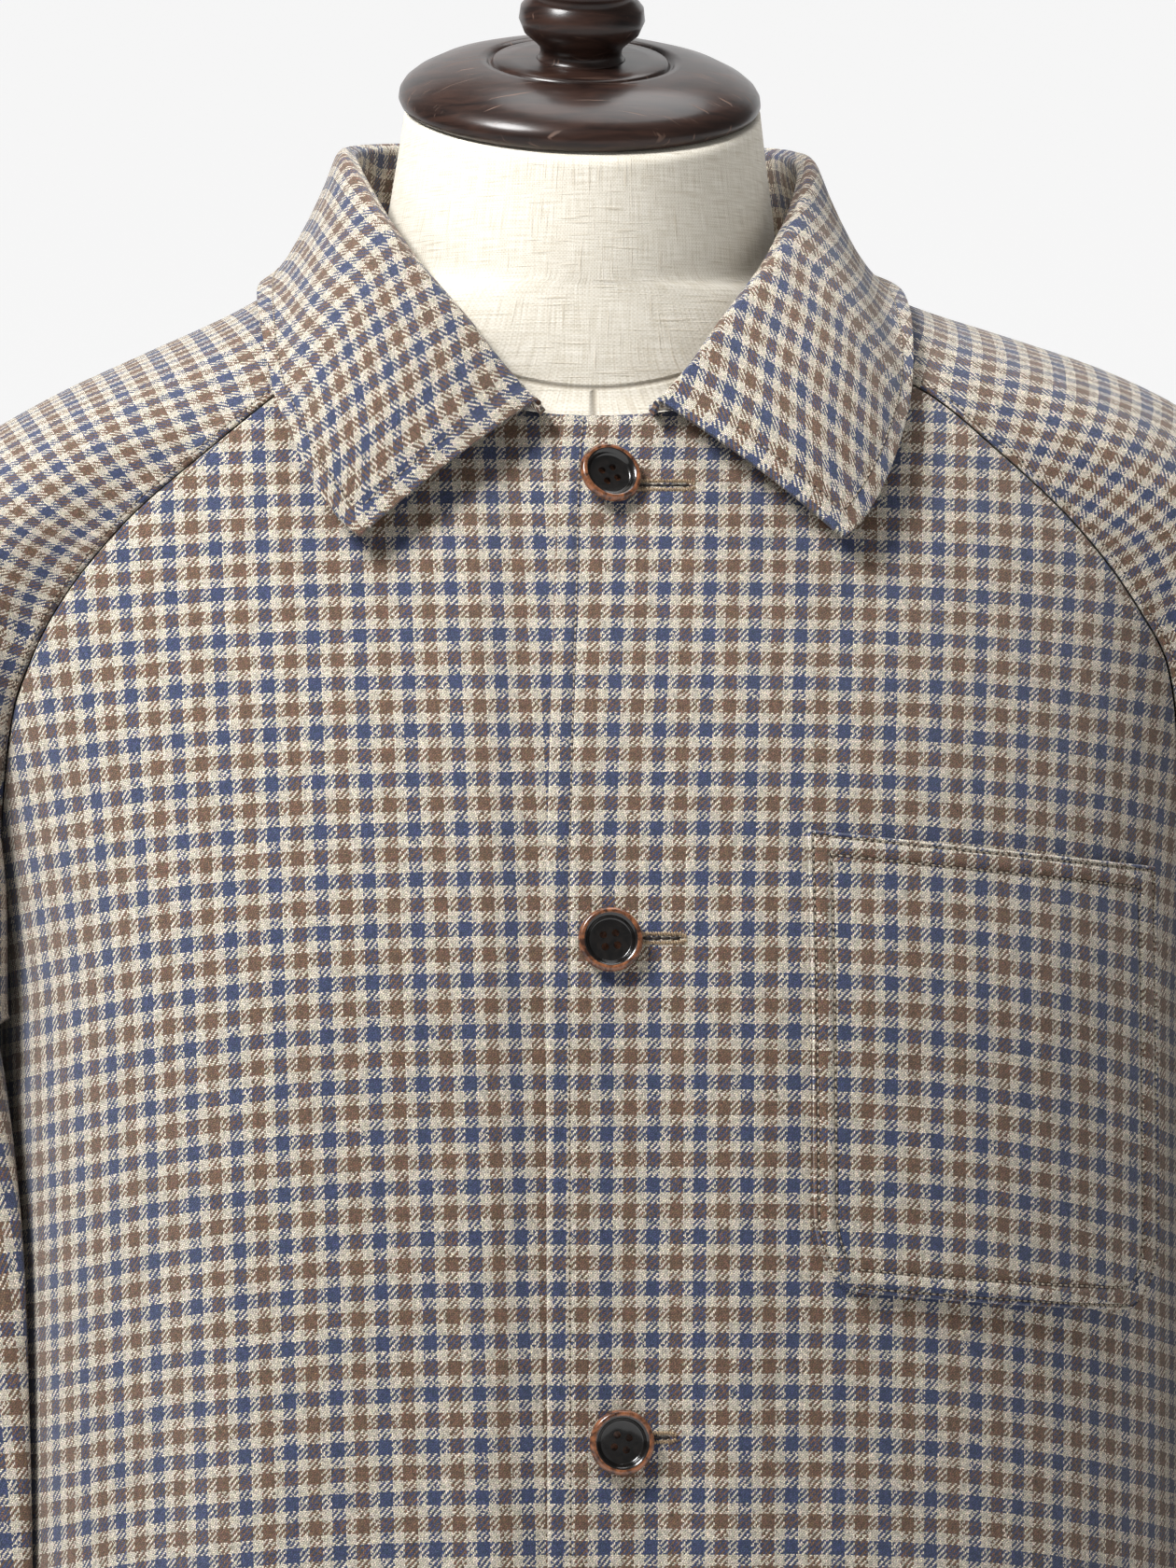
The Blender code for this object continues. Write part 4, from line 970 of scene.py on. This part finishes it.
def beside_body(side, points, clear):
    """Moves a sleeve's points outwards until they are clear of the body, with a soft start."""
    y, z = points[..., 1], points[..., 2]
    reach = np.where(y < 0, read(BODY, "front", z), read(BODY, "back", z))
    fullness = read(BODY, "fullness", z)
    share = np.minimum(np.abs(y) / reach, 1.0)
    room = side * points[..., 0] - body_half(side, z) * (1 - share**2) ** (1 / fullness) - clear
    out = (np.sqrt(room**2 + ARM_SOFTNESS**2) - room) / 2
    moved = points.copy()
    moved[..., 0] += side * out
    return moved


def raglan_point(side, face, z):
    """A point of the raglan seam."""
    return body_points(side, face, raglan_x(side, face, z), z)


def cap_row(side, share, shares):
    """A section over the shoulder, from the front seam over the ridge to the back seam."""
    ridge_x, ridge_z, deep = (read(CAP, name, share) for name in CAP[0][1:])
    front = raglan_point(side, -1, FRONT_RAGLAN_TOP_Z + (UNDERARM_Z - FRONT_RAGLAN_TOP_Z) * share)
    back = raglan_point(side, 1, BACK_RAGLAN_TOP_Z + (UNDERARM_Z - BACK_RAGLAN_TOP_Z) * share)
    lift = SHOULDER_TILT[side] * (ridge_x - CAP[1][1]) * (1 - share**2)
    ridge = np.array([side * ridge_x, 0.0, ridge_z + lift])
    closeness = ease((share - 0.5) / 0.5)
    middle = (front + back) / 2
    half_gap = np.linalg.norm(front - back) / 2
    out = unit(ridge - middle)
    middle = middle + out * ARM[-1][1] * closeness
    forward = unit((front - back) + np.array([0, -0.003, 0]))
    depth = max(deep, half_gap * 1.02)
    power = 1.0 - (1.0 - SECTION_POWER) * closeness
    first = math.asin((half_gap / depth) ** (1 / power))
    reach = np.linalg.norm(ridge - middle) / (1 + math.cos(first) ** power)
    centre = middle + out * (reach * math.cos(first) ** power)
    lean_name = "lean_left" if side > 0 else "lean_right"
    full_lean = math.radians(read(ARM, lean_name, UNDERARM_Z))
    lean = -side * full_lean * ease((share - 0.25) / 0.75)
    turns = first + (2 * math.pi - 2 * first) * shares
    across, along = np.cos(turns)[:, None], np.sin(turns)[:, None]
    arm = forward * depth * powered(along, power) - out * reach * powered(across, power)
    points = centre + turned_about_z(arm, lean)
    if closeness > 0:
        near = min(closeness * 3, 1.0)
        points = points * (1 - near) + beside_body(side, points, ARM[-1][1]) * near
    puff = sleeve_fold_depth(side, points[:, 2], turns)
    points = points + turned_about_z(forward * along - out * across, lean) * puff[:, None]
    points[0], points[-1] = front, back
    return points


def arm_row(side, z, shares):
    """A ring below the underarm, from the inner side by way of the front."""
    lean = math.radians(read(ARM, "lean_left" if side > 0 else "lean_right", z))
    forward = np.array([-side * math.sin(lean), -math.cos(lean), 0.0])
    out = np.array([side * math.cos(lean), -math.sin(lean), 0.0])
    centre_x = side * read(ARM, "left_x" if side > 0 else "right_x", z)
    centre = np.array([centre_x, read(ARM, "centre_y", z), z])
    turns = 2 * math.pi * shares
    across, along = np.cos(turns)[:, None], np.sin(turns)[:, None]
    points = centre + forward * read(ARM, "depth", z) * powered(along, SECTION_POWER)
    points = points - out * read(ARM, "thick", z) * powered(across, SECTION_POWER)
    points = beside_body(side, points, read(ARM, "clear", z))
    puff = sleeve_fold_depth(side, z, turns)
    return points + (forward * along - out * across) * puff[:, None]


def add_sleeve(name, side, node):
    """A sleeve with a ridge and a row of stitches along both seams, and a row at the cuff."""
    shares = spread(0.34, 128, SEAM_MARKS, SEAM_MARKS)
    cap = [cap_row(side, share, shares) for share in np.linspace(0, 1, CAP_ROWS)]
    falls = np.linspace(0, 1, ARM_ROWS + 1)[1:]
    arm = [arm_row(side, z, shares) for z in UNDERARM_Z - (UNDERARM_Z - CUFF_Z) * falls]
    points = np.array(cap + arm)
    points[CAP_ROWS - 1, -1] = points[CAP_ROWS - 1, 0]
    points[CAP_ROWS :, -1] = points[CAP_ROWS :, 0]
    along = run_lengths(points, 1)
    for i in range(CAP_ROWS):
        ahead = np.array([np.interp(SEAM_FLAT, along[i], points[i, :, k]) for k in range(3)])
        part = np.clip(along[i] / SEAM_FLAT, 0.0, 1.0)[:, None]
        straight = points[i, 0] + (ahead - points[i, 0]) * part
        keep = 1 - SEAM_FLATTENED * (1 - ease(part)) * ease((1 - i / (CAP_ROWS - 1)) / 0.4)
        points[i] = np.where(part < 1, straight + (points[i] - straight) * keep, points[i])
    along, normal = run_lengths(points, 1), outwards(points, (side * SLEEVE_X, 0.0))
    middle = points.shape[1] // 2
    ridge = points[:, middle : middle + 1]
    down = run_lengths(ridge, 0)
    heading = np.gradient(ridge, axis=0)
    heading /= np.linalg.norm(heading, axis=-1, keepdims=True)
    lead = ((points - ridge) * heading).sum(axis=-1)
    round_arm = along - along[:, middle : middle + 1]
    u = np.sign(round_arm) * np.sqrt(np.maximum(round_arm**2 - lead**2, 0.0))
    uv = np.stack([side * u, -down - lead], axis=-1)
    near = np.minimum(along, along[:, -1:] - along)
    sewn = np.clip((CAP_ROWS - 1 - np.arange(len(points))) / 5, 0.0, 1.0)[:, None]
    ridged = sewn * (turned_edge(near, 0.0007) + 0.0006 * ease((0.0062 - near) / 0.003))
    points = points + normal * ridged[..., None]
    panel = add_panel(name, points, uv, node, (side * SLEEVE_X, 0.0), closed=True)
    lines = []
    for at in (SEAM_STITCH, along[:CAP_ROWS, -1] - SEAM_STITCH):
        lines.append(line_on(points[:CAP_ROWS], normal[:CAP_ROWS], along[:CAP_ROWS], at))
    low = len(points) - 1 - round(HEM_STITCH / ((UNDERARM_Z - CUFF_Z) / ARM_ROWS))
    lines.append((points[low], normal[low]))
    return panel, add_sewing(name.replace("panel", "sewing"), lines, node, pale_thread)


sleeve_left_panel, sleeve_left_sewing = add_sleeve("sleeve_left_panel", 1, "sleeve_left")
sleeve_right_panel, sleeve_right_sewing = add_sleeve("sleeve_right_panel", -1, "sleeve_right")


# The collar: a shirt collar in one piece with its stand, sewn into the neckline and folded over. Its leaf
# lies open on the fronts and its points are square and slightly spread.
COLLAR = (
    ("share", "roll_x", "roll_y", "roll_z", "edge_x", "edge_y", "edge_z", "bow"),
    (0.00, 0.0170, -0.0840, 1.4335, 0.0755, -0.1025, 1.3910, 0.0030),
    (0.06, 0.0270, -0.0815, 1.4435, 0.0800, -0.1005, 1.3945, 0.0040),
    (0.13, 0.0395, -0.0745, 1.4600, 0.0860, -0.0965, 1.4025, 0.0045),
    (0.25, 0.0570, -0.0590, 1.4820, 0.0945, -0.0850, 1.4200, 0.0040),
    (0.38, 0.0675, -0.0370, 1.5010, 0.1015, -0.0620, 1.4430, 0.0010),
    (0.52, 0.0725, -0.0060, 1.5165, 0.1030, -0.0160, 1.4680, -0.0030),
    (0.64, 0.0715, 0.0270, 1.5225, 0.0990, 0.0300, 1.4780, -0.0020),
    (0.77, 0.0590, 0.0560, 1.5270, 0.0820, 0.0720, 1.4830, 0.0000),
    (0.89, 0.0330, 0.0750, 1.5295, 0.0450, 0.0970, 1.4860, 0.0010),
    (1.00, 0.0000, 0.0810, 1.5305, 0.0000, 0.1050, 1.4870, 0.0010),
)
COLLAR_CLOTH = 0.0022
COLLAR_ROLL_R = 0.0030
COLLAR_CLEARANCE = 0.0024
COLLAR_STITCH = 0.0065
COLLAR_GROOVE = 0.0004
COLLAR_SECTIONS = 19
LEAF_STEPS = 5
LEAF_START = 27


def neckline(side):
    """Half of the jacket's neck edge, from the centre front round to the centre back."""
    inner = read(PLACKET, "x", FRONT_NECK_Z) if side > 0 else -UNDERLAP_X
    even = np.linspace(0, 1, 15)
    front = panel_points(side, -1, [inner], [FRONT_NECK_Z], [FRONT_RAGLAN_TOP_Z], even)[0]
    over = cap_row(side, 0.0, np.linspace(0, 1, 19))
    back = panel_points(side, 1, [0.0], [BACK_NECK_Z], [BACK_RAGLAN_TOP_Z], even)[0]
    whole = np.concatenate([front, over[1:-1], back[::-1]])
    start = np.argmax(side * whole[:, 0] > COLLAR[1][1])
    before, after = whole[start - 1], whole[start]
    share = (COLLAR[1][1] - side * before[0]) / (side * (after[0] - before[0]))
    return np.concatenate([[before + (after - before) * share], whole[start:]])


def lift_clear(point, clearance):
    """Moves a point out of the cloth under it until it is clear of it."""
    for tree in trees + trees:
        found, normal, _, _ = tree.find_nearest(point, 0.03)
        if found is not None:
            height = (point - found).dot(normal)
            if height < clearance:
                point = point + normal * (clearance - height)
    return point


def collar_profile(side, share, neck):
    """A section of the collar, from its foot in the neckline up, over the roll and down the leaf."""
    row = {name: float(read(COLLAR, name, share)) for name in COLLAR[0]}
    runs = run_lengths(neck, 0)
    foot = Vector([np.interp(share * runs[-1], runs, neck[:, i]) for i in range(3)])
    foot.z += 0.0003 + COLLAR_CLOTH / 2
    roll = Vector((side * row["roll_x"], row["roll_y"], row["roll_z"]))
    edge = Vector((side * row["edge_x"], row["edge_y"], row["edge_z"]))
    if (roll - foot).length < 0.006:
        foot = roll - Vector((0, 0, 0.006))
    away = Vector((edge.x - roll.x, edge.y - roll.y, 0.0)).normalized()
    top = roll - Vector((0, 0, COLLAR_ROLL_R))
    profile = [foot, foot.lerp(top, 0.5)]
    for turn_deg in (0, 60, 120):
        turn = math.radians(turn_deg)
        rise = Vector((0, 0, COLLAR_ROLL_R * math.sin(turn)))
        profile.append(top + away * (COLLAR_ROLL_R * (1 - math.cos(turn))) + rise)
    start = profile[-1]
    under = [tree.find_nearest(start.lerp(edge, 0.6)) for tree in trees]
    normal = min(under, key=lambda hit: hit[3])[1]
    for part in (0.2, 0.4, 0.6, 0.8, 1.0):
        point = start.lerp(edge, part) + normal * row["bow"] * math.sin(math.pi * part)
        profile.append(lift_clear(point, COLLAR_CLEARANCE + COLLAR_CLOTH / 2))
    return np.array(profile)


halves = []
for side in (1, -1):
    neck = neckline(side)
    shares = np.linspace(0, 1, COLLAR_SECTIONS) ** 1.15
    halves.append(np.array([collar_profile(side, share, neck) for share in shares]))
middle = (halves[0][-1:] + halves[1][-1:]) / 2
points = np.concatenate([halves[0][:-1], middle, halves[1][-2::-1]])
points = refined(refined(points, 6).swapaxes(0, 1), LEAF_STEPS).swapaxes(0, 1)
along, down = run_lengths(points, 0), run_lengths(points, 1)
normal = outwards(points, (0, 0))
whole = along[-1:]
from_end = np.minimum(along, whole - along)
even = from_end + ease(2 * from_end / whole) * (whole.mean() - whole) / 2
u = np.where(along < whole / 2, even, whole.mean() - even)
uv = np.stack([u, -down], axis=-1)
rim = down[:, -1:] - down
groove = COLLAR_GROOVE * hump(np.minimum(rim, from_end) - COLLAR_STITCH, 0.0020)
points = points - normal * groove[..., None]
collar_folded = add_piece(
    "collar_folded", sheet_mesh("collar_folded", points, uv), cloth, "collar", "check_cloth"
)
add_wall(collar_folded, COLLAR_CLOTH, 0.0)
soft_edge = collar_folded.modifiers.new("soft edge", "BEVEL")
soft_edge.width = 0.0008
soft_edge.segments = 3
soft_edge.limit_method = "ANGLE"
soft_edge.angle_limit = math.radians(50)

face_out = COLLAR_CLOTH / 2
inside = np.flatnonzero((along[:, -1] > COLLAR_STITCH) & (along[:, -1] < whole[0, -1] - COLLAR_STITCH))
lines = [line_on(points[inside], normal[inside], down[inside], down[inside, -1] - COLLAR_STITCH, face_out)]
for at, end in ((COLLAR_STITCH, 0), (whole[0] - COLLAR_STITCH, -1)):
    leaf = np.flatnonzero((np.arange(down.shape[1]) > LEAF_START) & (rim[end] > COLLAR_STITCH))
    at = np.broadcast_to(at, down.shape[1])[leaf]
    lines.append(line_across(points[:, leaf], normal[:, leaf], along[:, leaf], at, face_out))
collar_sewing = add_sewing("collar_sewing", lines, "collar", pale_thread)


# The chest pocket on the left front: a patch with rounded lower corners and a turned and stitched top,
# sewn on so that its check runs on from the front's.
POCKET_INNER_X = 0.061
POCKET_OUTER_X = 0.1765
POCKET_TOP_Z = 1.300
POCKET_DEPTH = 0.140
POCKET_SLANT = 0.105
POCKET_CORNER_WIDE = 0.015
POCKET_CORNER_HIGH = 0.024

POCKET_WIDE = POCKET_OUTER_X - POCKET_INNER_X
POCKET_MARKS = (0.0, 0.0003, 0.0007, 0.0012, 0.0015, 0.0019, 0.0026)
POCKET_MARKS += (0.0045, 0.0060, 0.0066, 0.0070, 0.0074, 0.0082, 0.0100)
POCKET_STITCHES = (0.0015, 0.0070)
POCKET_EDGE_R = 0.0012
POCKET_BORDER = 0.0007
POCKET_GROOVE = 0.0009
POCKET_LIFT = 0.0013 + CLOTH

heights = POCKET_DEPTH * spread(POCKET_DEPTH, 44, POCKET_MARKS, POCKET_MARKS)
short = np.clip(1 - heights / POCKET_CORNER_HIGH, 0.0, 1.0)
cut = POCKET_CORNER_WIDE * (1 - np.sqrt(1 - short**2))
inner, outer = (POCKET_INNER_X + cut)[:, None], (POCKET_OUTER_X - cut)[:, None]
x = inner + (outer - inner) * spread(POCKET_WIDE, 36, POCKET_MARKS, POCKET_MARKS)


def pocket_z(x, height):
    """Heights on the pocket, which slants down towards the side."""
    return POCKET_TOP_Z - POCKET_DEPTH + height - POCKET_SLANT * (x - POCKET_INNER_X)


z = pocket_z(x, heights[:, None])
in_by = np.minimum(np.minimum(x - inner, outer - x), np.minimum(heights, POCKET_DEPTH - heights)[:, None])
relief = turned_edge(in_by, POCKET_EDGE_R) + POCKET_BORDER * ease((0.0090 - in_by) / 0.002)
for inset, width in zip(POCKET_STITCHES, (0.0009, 0.0014)):
    relief -= POCKET_GROOVE * hump(in_by - inset, width)
points = body_points(1, -1, x, z, lift=POCKET_LIFT + relief)
uv = front_cut(1, x, z)
chest_pocket_patch = add_panel("chest_pocket_patch", points, uv, "chest_pocket", (0, 0))


def pocket_row(inset):
    """A row of stitches round the pocket's sides and bottom, this far in from its edge."""
    turn = np.linspace(0, math.pi / 2, 14)
    in_x = POCKET_CORNER_WIDE - (POCKET_CORNER_WIDE - inset) * np.cos(turn)
    up = POCKET_CORNER_HIGH - (POCKET_CORNER_HIGH - inset) * np.sin(turn)
    sides = np.linspace(POCKET_DEPTH - 0.001, POCKET_CORNER_HIGH, 40)[:-1]
    bottom = np.linspace(POCKET_CORNER_WIDE, POCKET_WIDE - POCKET_CORNER_WIDE, 30)[1:-1]
    side_in, bottom_up = np.full_like(sides, inset), np.full_like(bottom, inset)
    across = np.concatenate([side_in, in_x, bottom, POCKET_WIDE - in_x[::-1], POCKET_WIDE - side_in])
    height = np.concatenate([sides, up, bottom_up, up[::-1], sides[::-1]])
    return POCKET_INNER_X + across, height


top_x = np.linspace(POCKET_INNER_X + 0.002, POCKET_OUTER_X - 0.002, 60)
lines = [pocket_row(inset) for inset in POCKET_STITCHES]
lines += [(top_x, np.full(60, POCKET_DEPTH - inset)) for inset in POCKET_STITCHES]
rows = [row_on_front(x, pocket_z(x, height), POCKET_LIFT + 0.0001) for x, height in lines]
pocket_sewing = add_sewing("pocket_sewing", rows, "chest_pocket", pale_thread)


# The buttons: polished horn-coloured rims round a glossy black dish with four holes. Each has been sewn on
# with a turn of its own, and the top one tips a little to its side.
BUTTONS = (
    ("x", "z", "tip_deg", "sewn_turn_deg"),
    (0.0029, 1.4095, 16.0, 18.0),
    (-0.0003, 1.2660, 0.0, 8.0),
    (0.0021, 1.1140, 0.0, -14.0),
    (0.0010, 0.9620, 0.0, 5.0),
)
BUTTON_R = 0.010
BUTTON = (
    (0.0063, 0.0019), (0.0066, 0.0020), (0.0070, 0.0028), (0.0077, 0.0038), (0.0082, 0.0041),
    (0.0089, 0.0043), (0.0095, 0.0040), (0.0099, 0.0031), (0.0100, 0.0024), (0.0092, 0.0012),
    (0.0070, 0.0006), (0.0000, 0.0006),
)
DISH_R = 0.0082
BUTTON_HOLE_R = 0.00115
BUTTON_HOLE_OUT = 0.00190
BUTTON_HOLE_DEEP = 0.0013
BUTTON_GAP = 0.0003


def horn_material(name, dark, light, roughness):
    """Polished horn: cloudy streaks under a clear gloss, with fine scratches."""
    look = Look(name)
    tone = look.ramp(look.noise(look.place(), 260.0, 4.0, Distortion=1.5), (0.38, dark), (0.66, light))
    worn = look.noise(look.place(), 1800.0, 2.0)
    dull = look.calc("MULTIPLY_ADD", worn, 0.12, roughness)
    return look.finish(tone, dull, look.bump(worn, 0.00003, 0.4), Coat_Weight=0.7, Coat_Roughness=0.08)


def button_mesh(name, place, sewn_turn_deg):
    """A button turned on a lathe, with four holes drilled in its dish and its rim polished round."""
    mesh = turned_mesh(name, BUTTON, 72)
    shape = bmesh.new()
    shape.from_mesh(mesh)
    ring = [edge for edge in shape.edges if edge.is_boundary]
    for turn_deg in (45, 135, 225, 315):
        out = Matrix.Translation((BUTTON_HOLE_OUT * math.sqrt(2), 0, BUTTON[0][1]))
        spot = Matrix.Rotation(math.radians(turn_deg + sewn_turn_deg), 4, "Z") @ out
        hole = bmesh.ops.create_circle(shape, segments=20, radius=BUTTON_HOLE_R, matrix=spot)
        ring += list({edge for corner in hole["verts"] for edge in corner.link_edges})
    bmesh.ops.triangle_fill(shape, edges=ring, use_beauty=True, normal=(0, 0, 1))
    rims = [edge for edge in shape.edges if edge.is_boundary]
    for edge in rims:
        edge.smooth = False
    drilled = bmesh.ops.extrude_edge_only(shape, edges=rims)["geom"]
    low = [part for part in drilled if isinstance(part, bmesh.types.BMVert)]
    bmesh.ops.translate(shape, vec=(0, 0, -BUTTON_HOLE_DEEP), verts=low)
    bmesh.ops.holes_fill(shape, edges=[edge for edge in shape.edges if edge.is_boundary])
    bmesh.ops.recalc_face_normals(shape, faces=shape.faces)
    for face in shape.faces:
        middle = face.calc_center_median()
        in_dish = math.hypot(middle.x, middle.y) < DISH_R and middle.z > 0.0007
        face.material_index = 1 if in_dish else 0
    bmesh.ops.transform(shape, matrix=place, verts=shape.verts)
    shape.to_mesh(mesh)
    shape.free()
    return mesh


horn = horn_material("horn_rim", (58, 32, 20), (156, 98, 62), 0.22)
dish = horn_material("horn_dish", (9, 8, 8), (26, 22, 20), 0.16)
left_front = trees[2]
for number, (x, z, tip_deg, sewn_turn_deg) in enumerate(BUTTONS[1:], 1):
    on_cloth = Vector(body_points(1, -1, np.array(0.0), np.array(z)))
    seat, normal, _, _ = left_front.find_nearest(on_cloth)
    turn = math.radians(tip_deg)
    facing = Matrix.Rotation(turn, 3, "Z") @ normal
    seat = seat + normal * (BUTTON_GAP + BUTTON_R / 2 * math.sin(turn))
    seat.x = x
    place = Matrix.Translation(seat) @ facing.to_track_quat("Z", "Y").to_matrix().to_4x4()
    mesh = button_mesh(f"button_{number}_turned", place, sewn_turn_deg)
    add_piece(f"button_{number}_turned", mesh, horn, f"button_{number}", "button_horn")
    mesh.materials.append(dish)


# The room: a pale floor that curves up into a pale wall, a soft light high in front on the left, a weak one
# low on the right and one overhead, and a camera level with the chest with a long lens.
CAMERA_TURN_DEG = -4.5
CAMERA_AWAY = 2.1
CAMERA_CENTRE = (0.0037, 1.314)
LENS_MM = 147.5
ROOM_HALF = 9.0
SWEEP_R = 2.0
WALL_HIGH = 12.0

turn = math.radians(CAMERA_TURN_DEG)
lens = bpy.data.cameras.new("camera")
lens.lens = LENS_MM
lens.sensor_width = 36.0
camera = add_object("camera", lens)
centre = Vector((CAMERA_CENTRE[0], 0.0, CAMERA_CENTRE[1]))
camera.location = centre + Vector((math.sin(turn), -math.cos(turn), 0.0)) * CAMERA_AWAY
looking = centre - camera.location
camera.rotation_euler = looking.to_track_quat("-Z", "Y").to_euler()
bpy.context.scene.camera = camera

backdrop = bpy.data.materials.new("backdrop")
backdrop.use_nodes = True
paper = backdrop.node_tree.nodes["Principled BSDF"].inputs
paper["Base Color"].default_value = (0.25, 0.25, 0.25, 1)
paper["Roughness"].default_value = 0.9
paper["Emission Color"].default_value = (1, 1, 1, 1)
paper["Emission Strength"].default_value = 0.80
run = [(-ROOM_HALF, 0.0), (ROOM_HALF - SWEEP_R, 0.0)]
for angle in np.linspace(0.1, math.pi / 2, 12):
    run.append((ROOM_HALF - SWEEP_R * (1 - math.sin(angle)), SWEEP_R * (1 - math.cos(angle))))
run.append((ROOM_HALF, WALL_HIGH))
sheet = bmesh.new()
line = [sheet.verts.new((-ROOM_HALF, y, z - 0.0005)) for y, z in run]
edges = [sheet.edges.new(pair) for pair in zip(line, line[1:])]
swept = bmesh.ops.extrude_edge_only(sheet, edges=edges)
moved = [part for part in swept["geom"] if isinstance(part, bmesh.types.BMVert)]
bmesh.ops.translate(sheet, vec=(2 * ROOM_HALF, 0, 0), verts=moved)
bmesh.ops.recalc_face_normals(sheet, faces=sheet.faces)
mesh = mesh_of("backdrop", sheet)
mesh.materials.append(backdrop)
mesh.shade_smooth()
backdrop_sheet = add_object("backdrop", mesh)
backdrop_sheet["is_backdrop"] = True

LIGHTS = (
    ("name", "place", "aim", "size", "power"),
    ("key", (-1.00, -0.90, 2.66), (0.0, -0.1, 1.25), 0.7, 50.0),
    ("fill", (2.0, -2.6, 1.8), (0.0, 0.0, 1.0), 2.0, 1.0),
    ("top", (0.3, 0.3, 3.4), (0.0, 0.0, 1.3), 1.6, 24.0),
)
for name, place, aim, size, power in LIGHTS[1:]:
    light = bpy.data.lights.new(name, "AREA")
    light.shape = "DISK"
    light.size = size
    light.energy = power
    lamp = add_object(name, light)
    lamp.location = place
    lamp.visible_camera = False
    lamp.rotation_euler = (Vector(aim) - Vector(place)).to_track_quat("-Z", "Y").to_euler()
world = bpy.data.worlds.new("room")
bpy.context.scene.world = world
world.use_nodes = True
sky = world.node_tree.nodes["Background"].inputs
sky["Color"].default_value = (1.0, 1.0, 1.0, 1)
sky["Strength"].default_value = 0.15
bpy.context.scene.view_settings.view_transform = "Standard"

low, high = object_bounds()
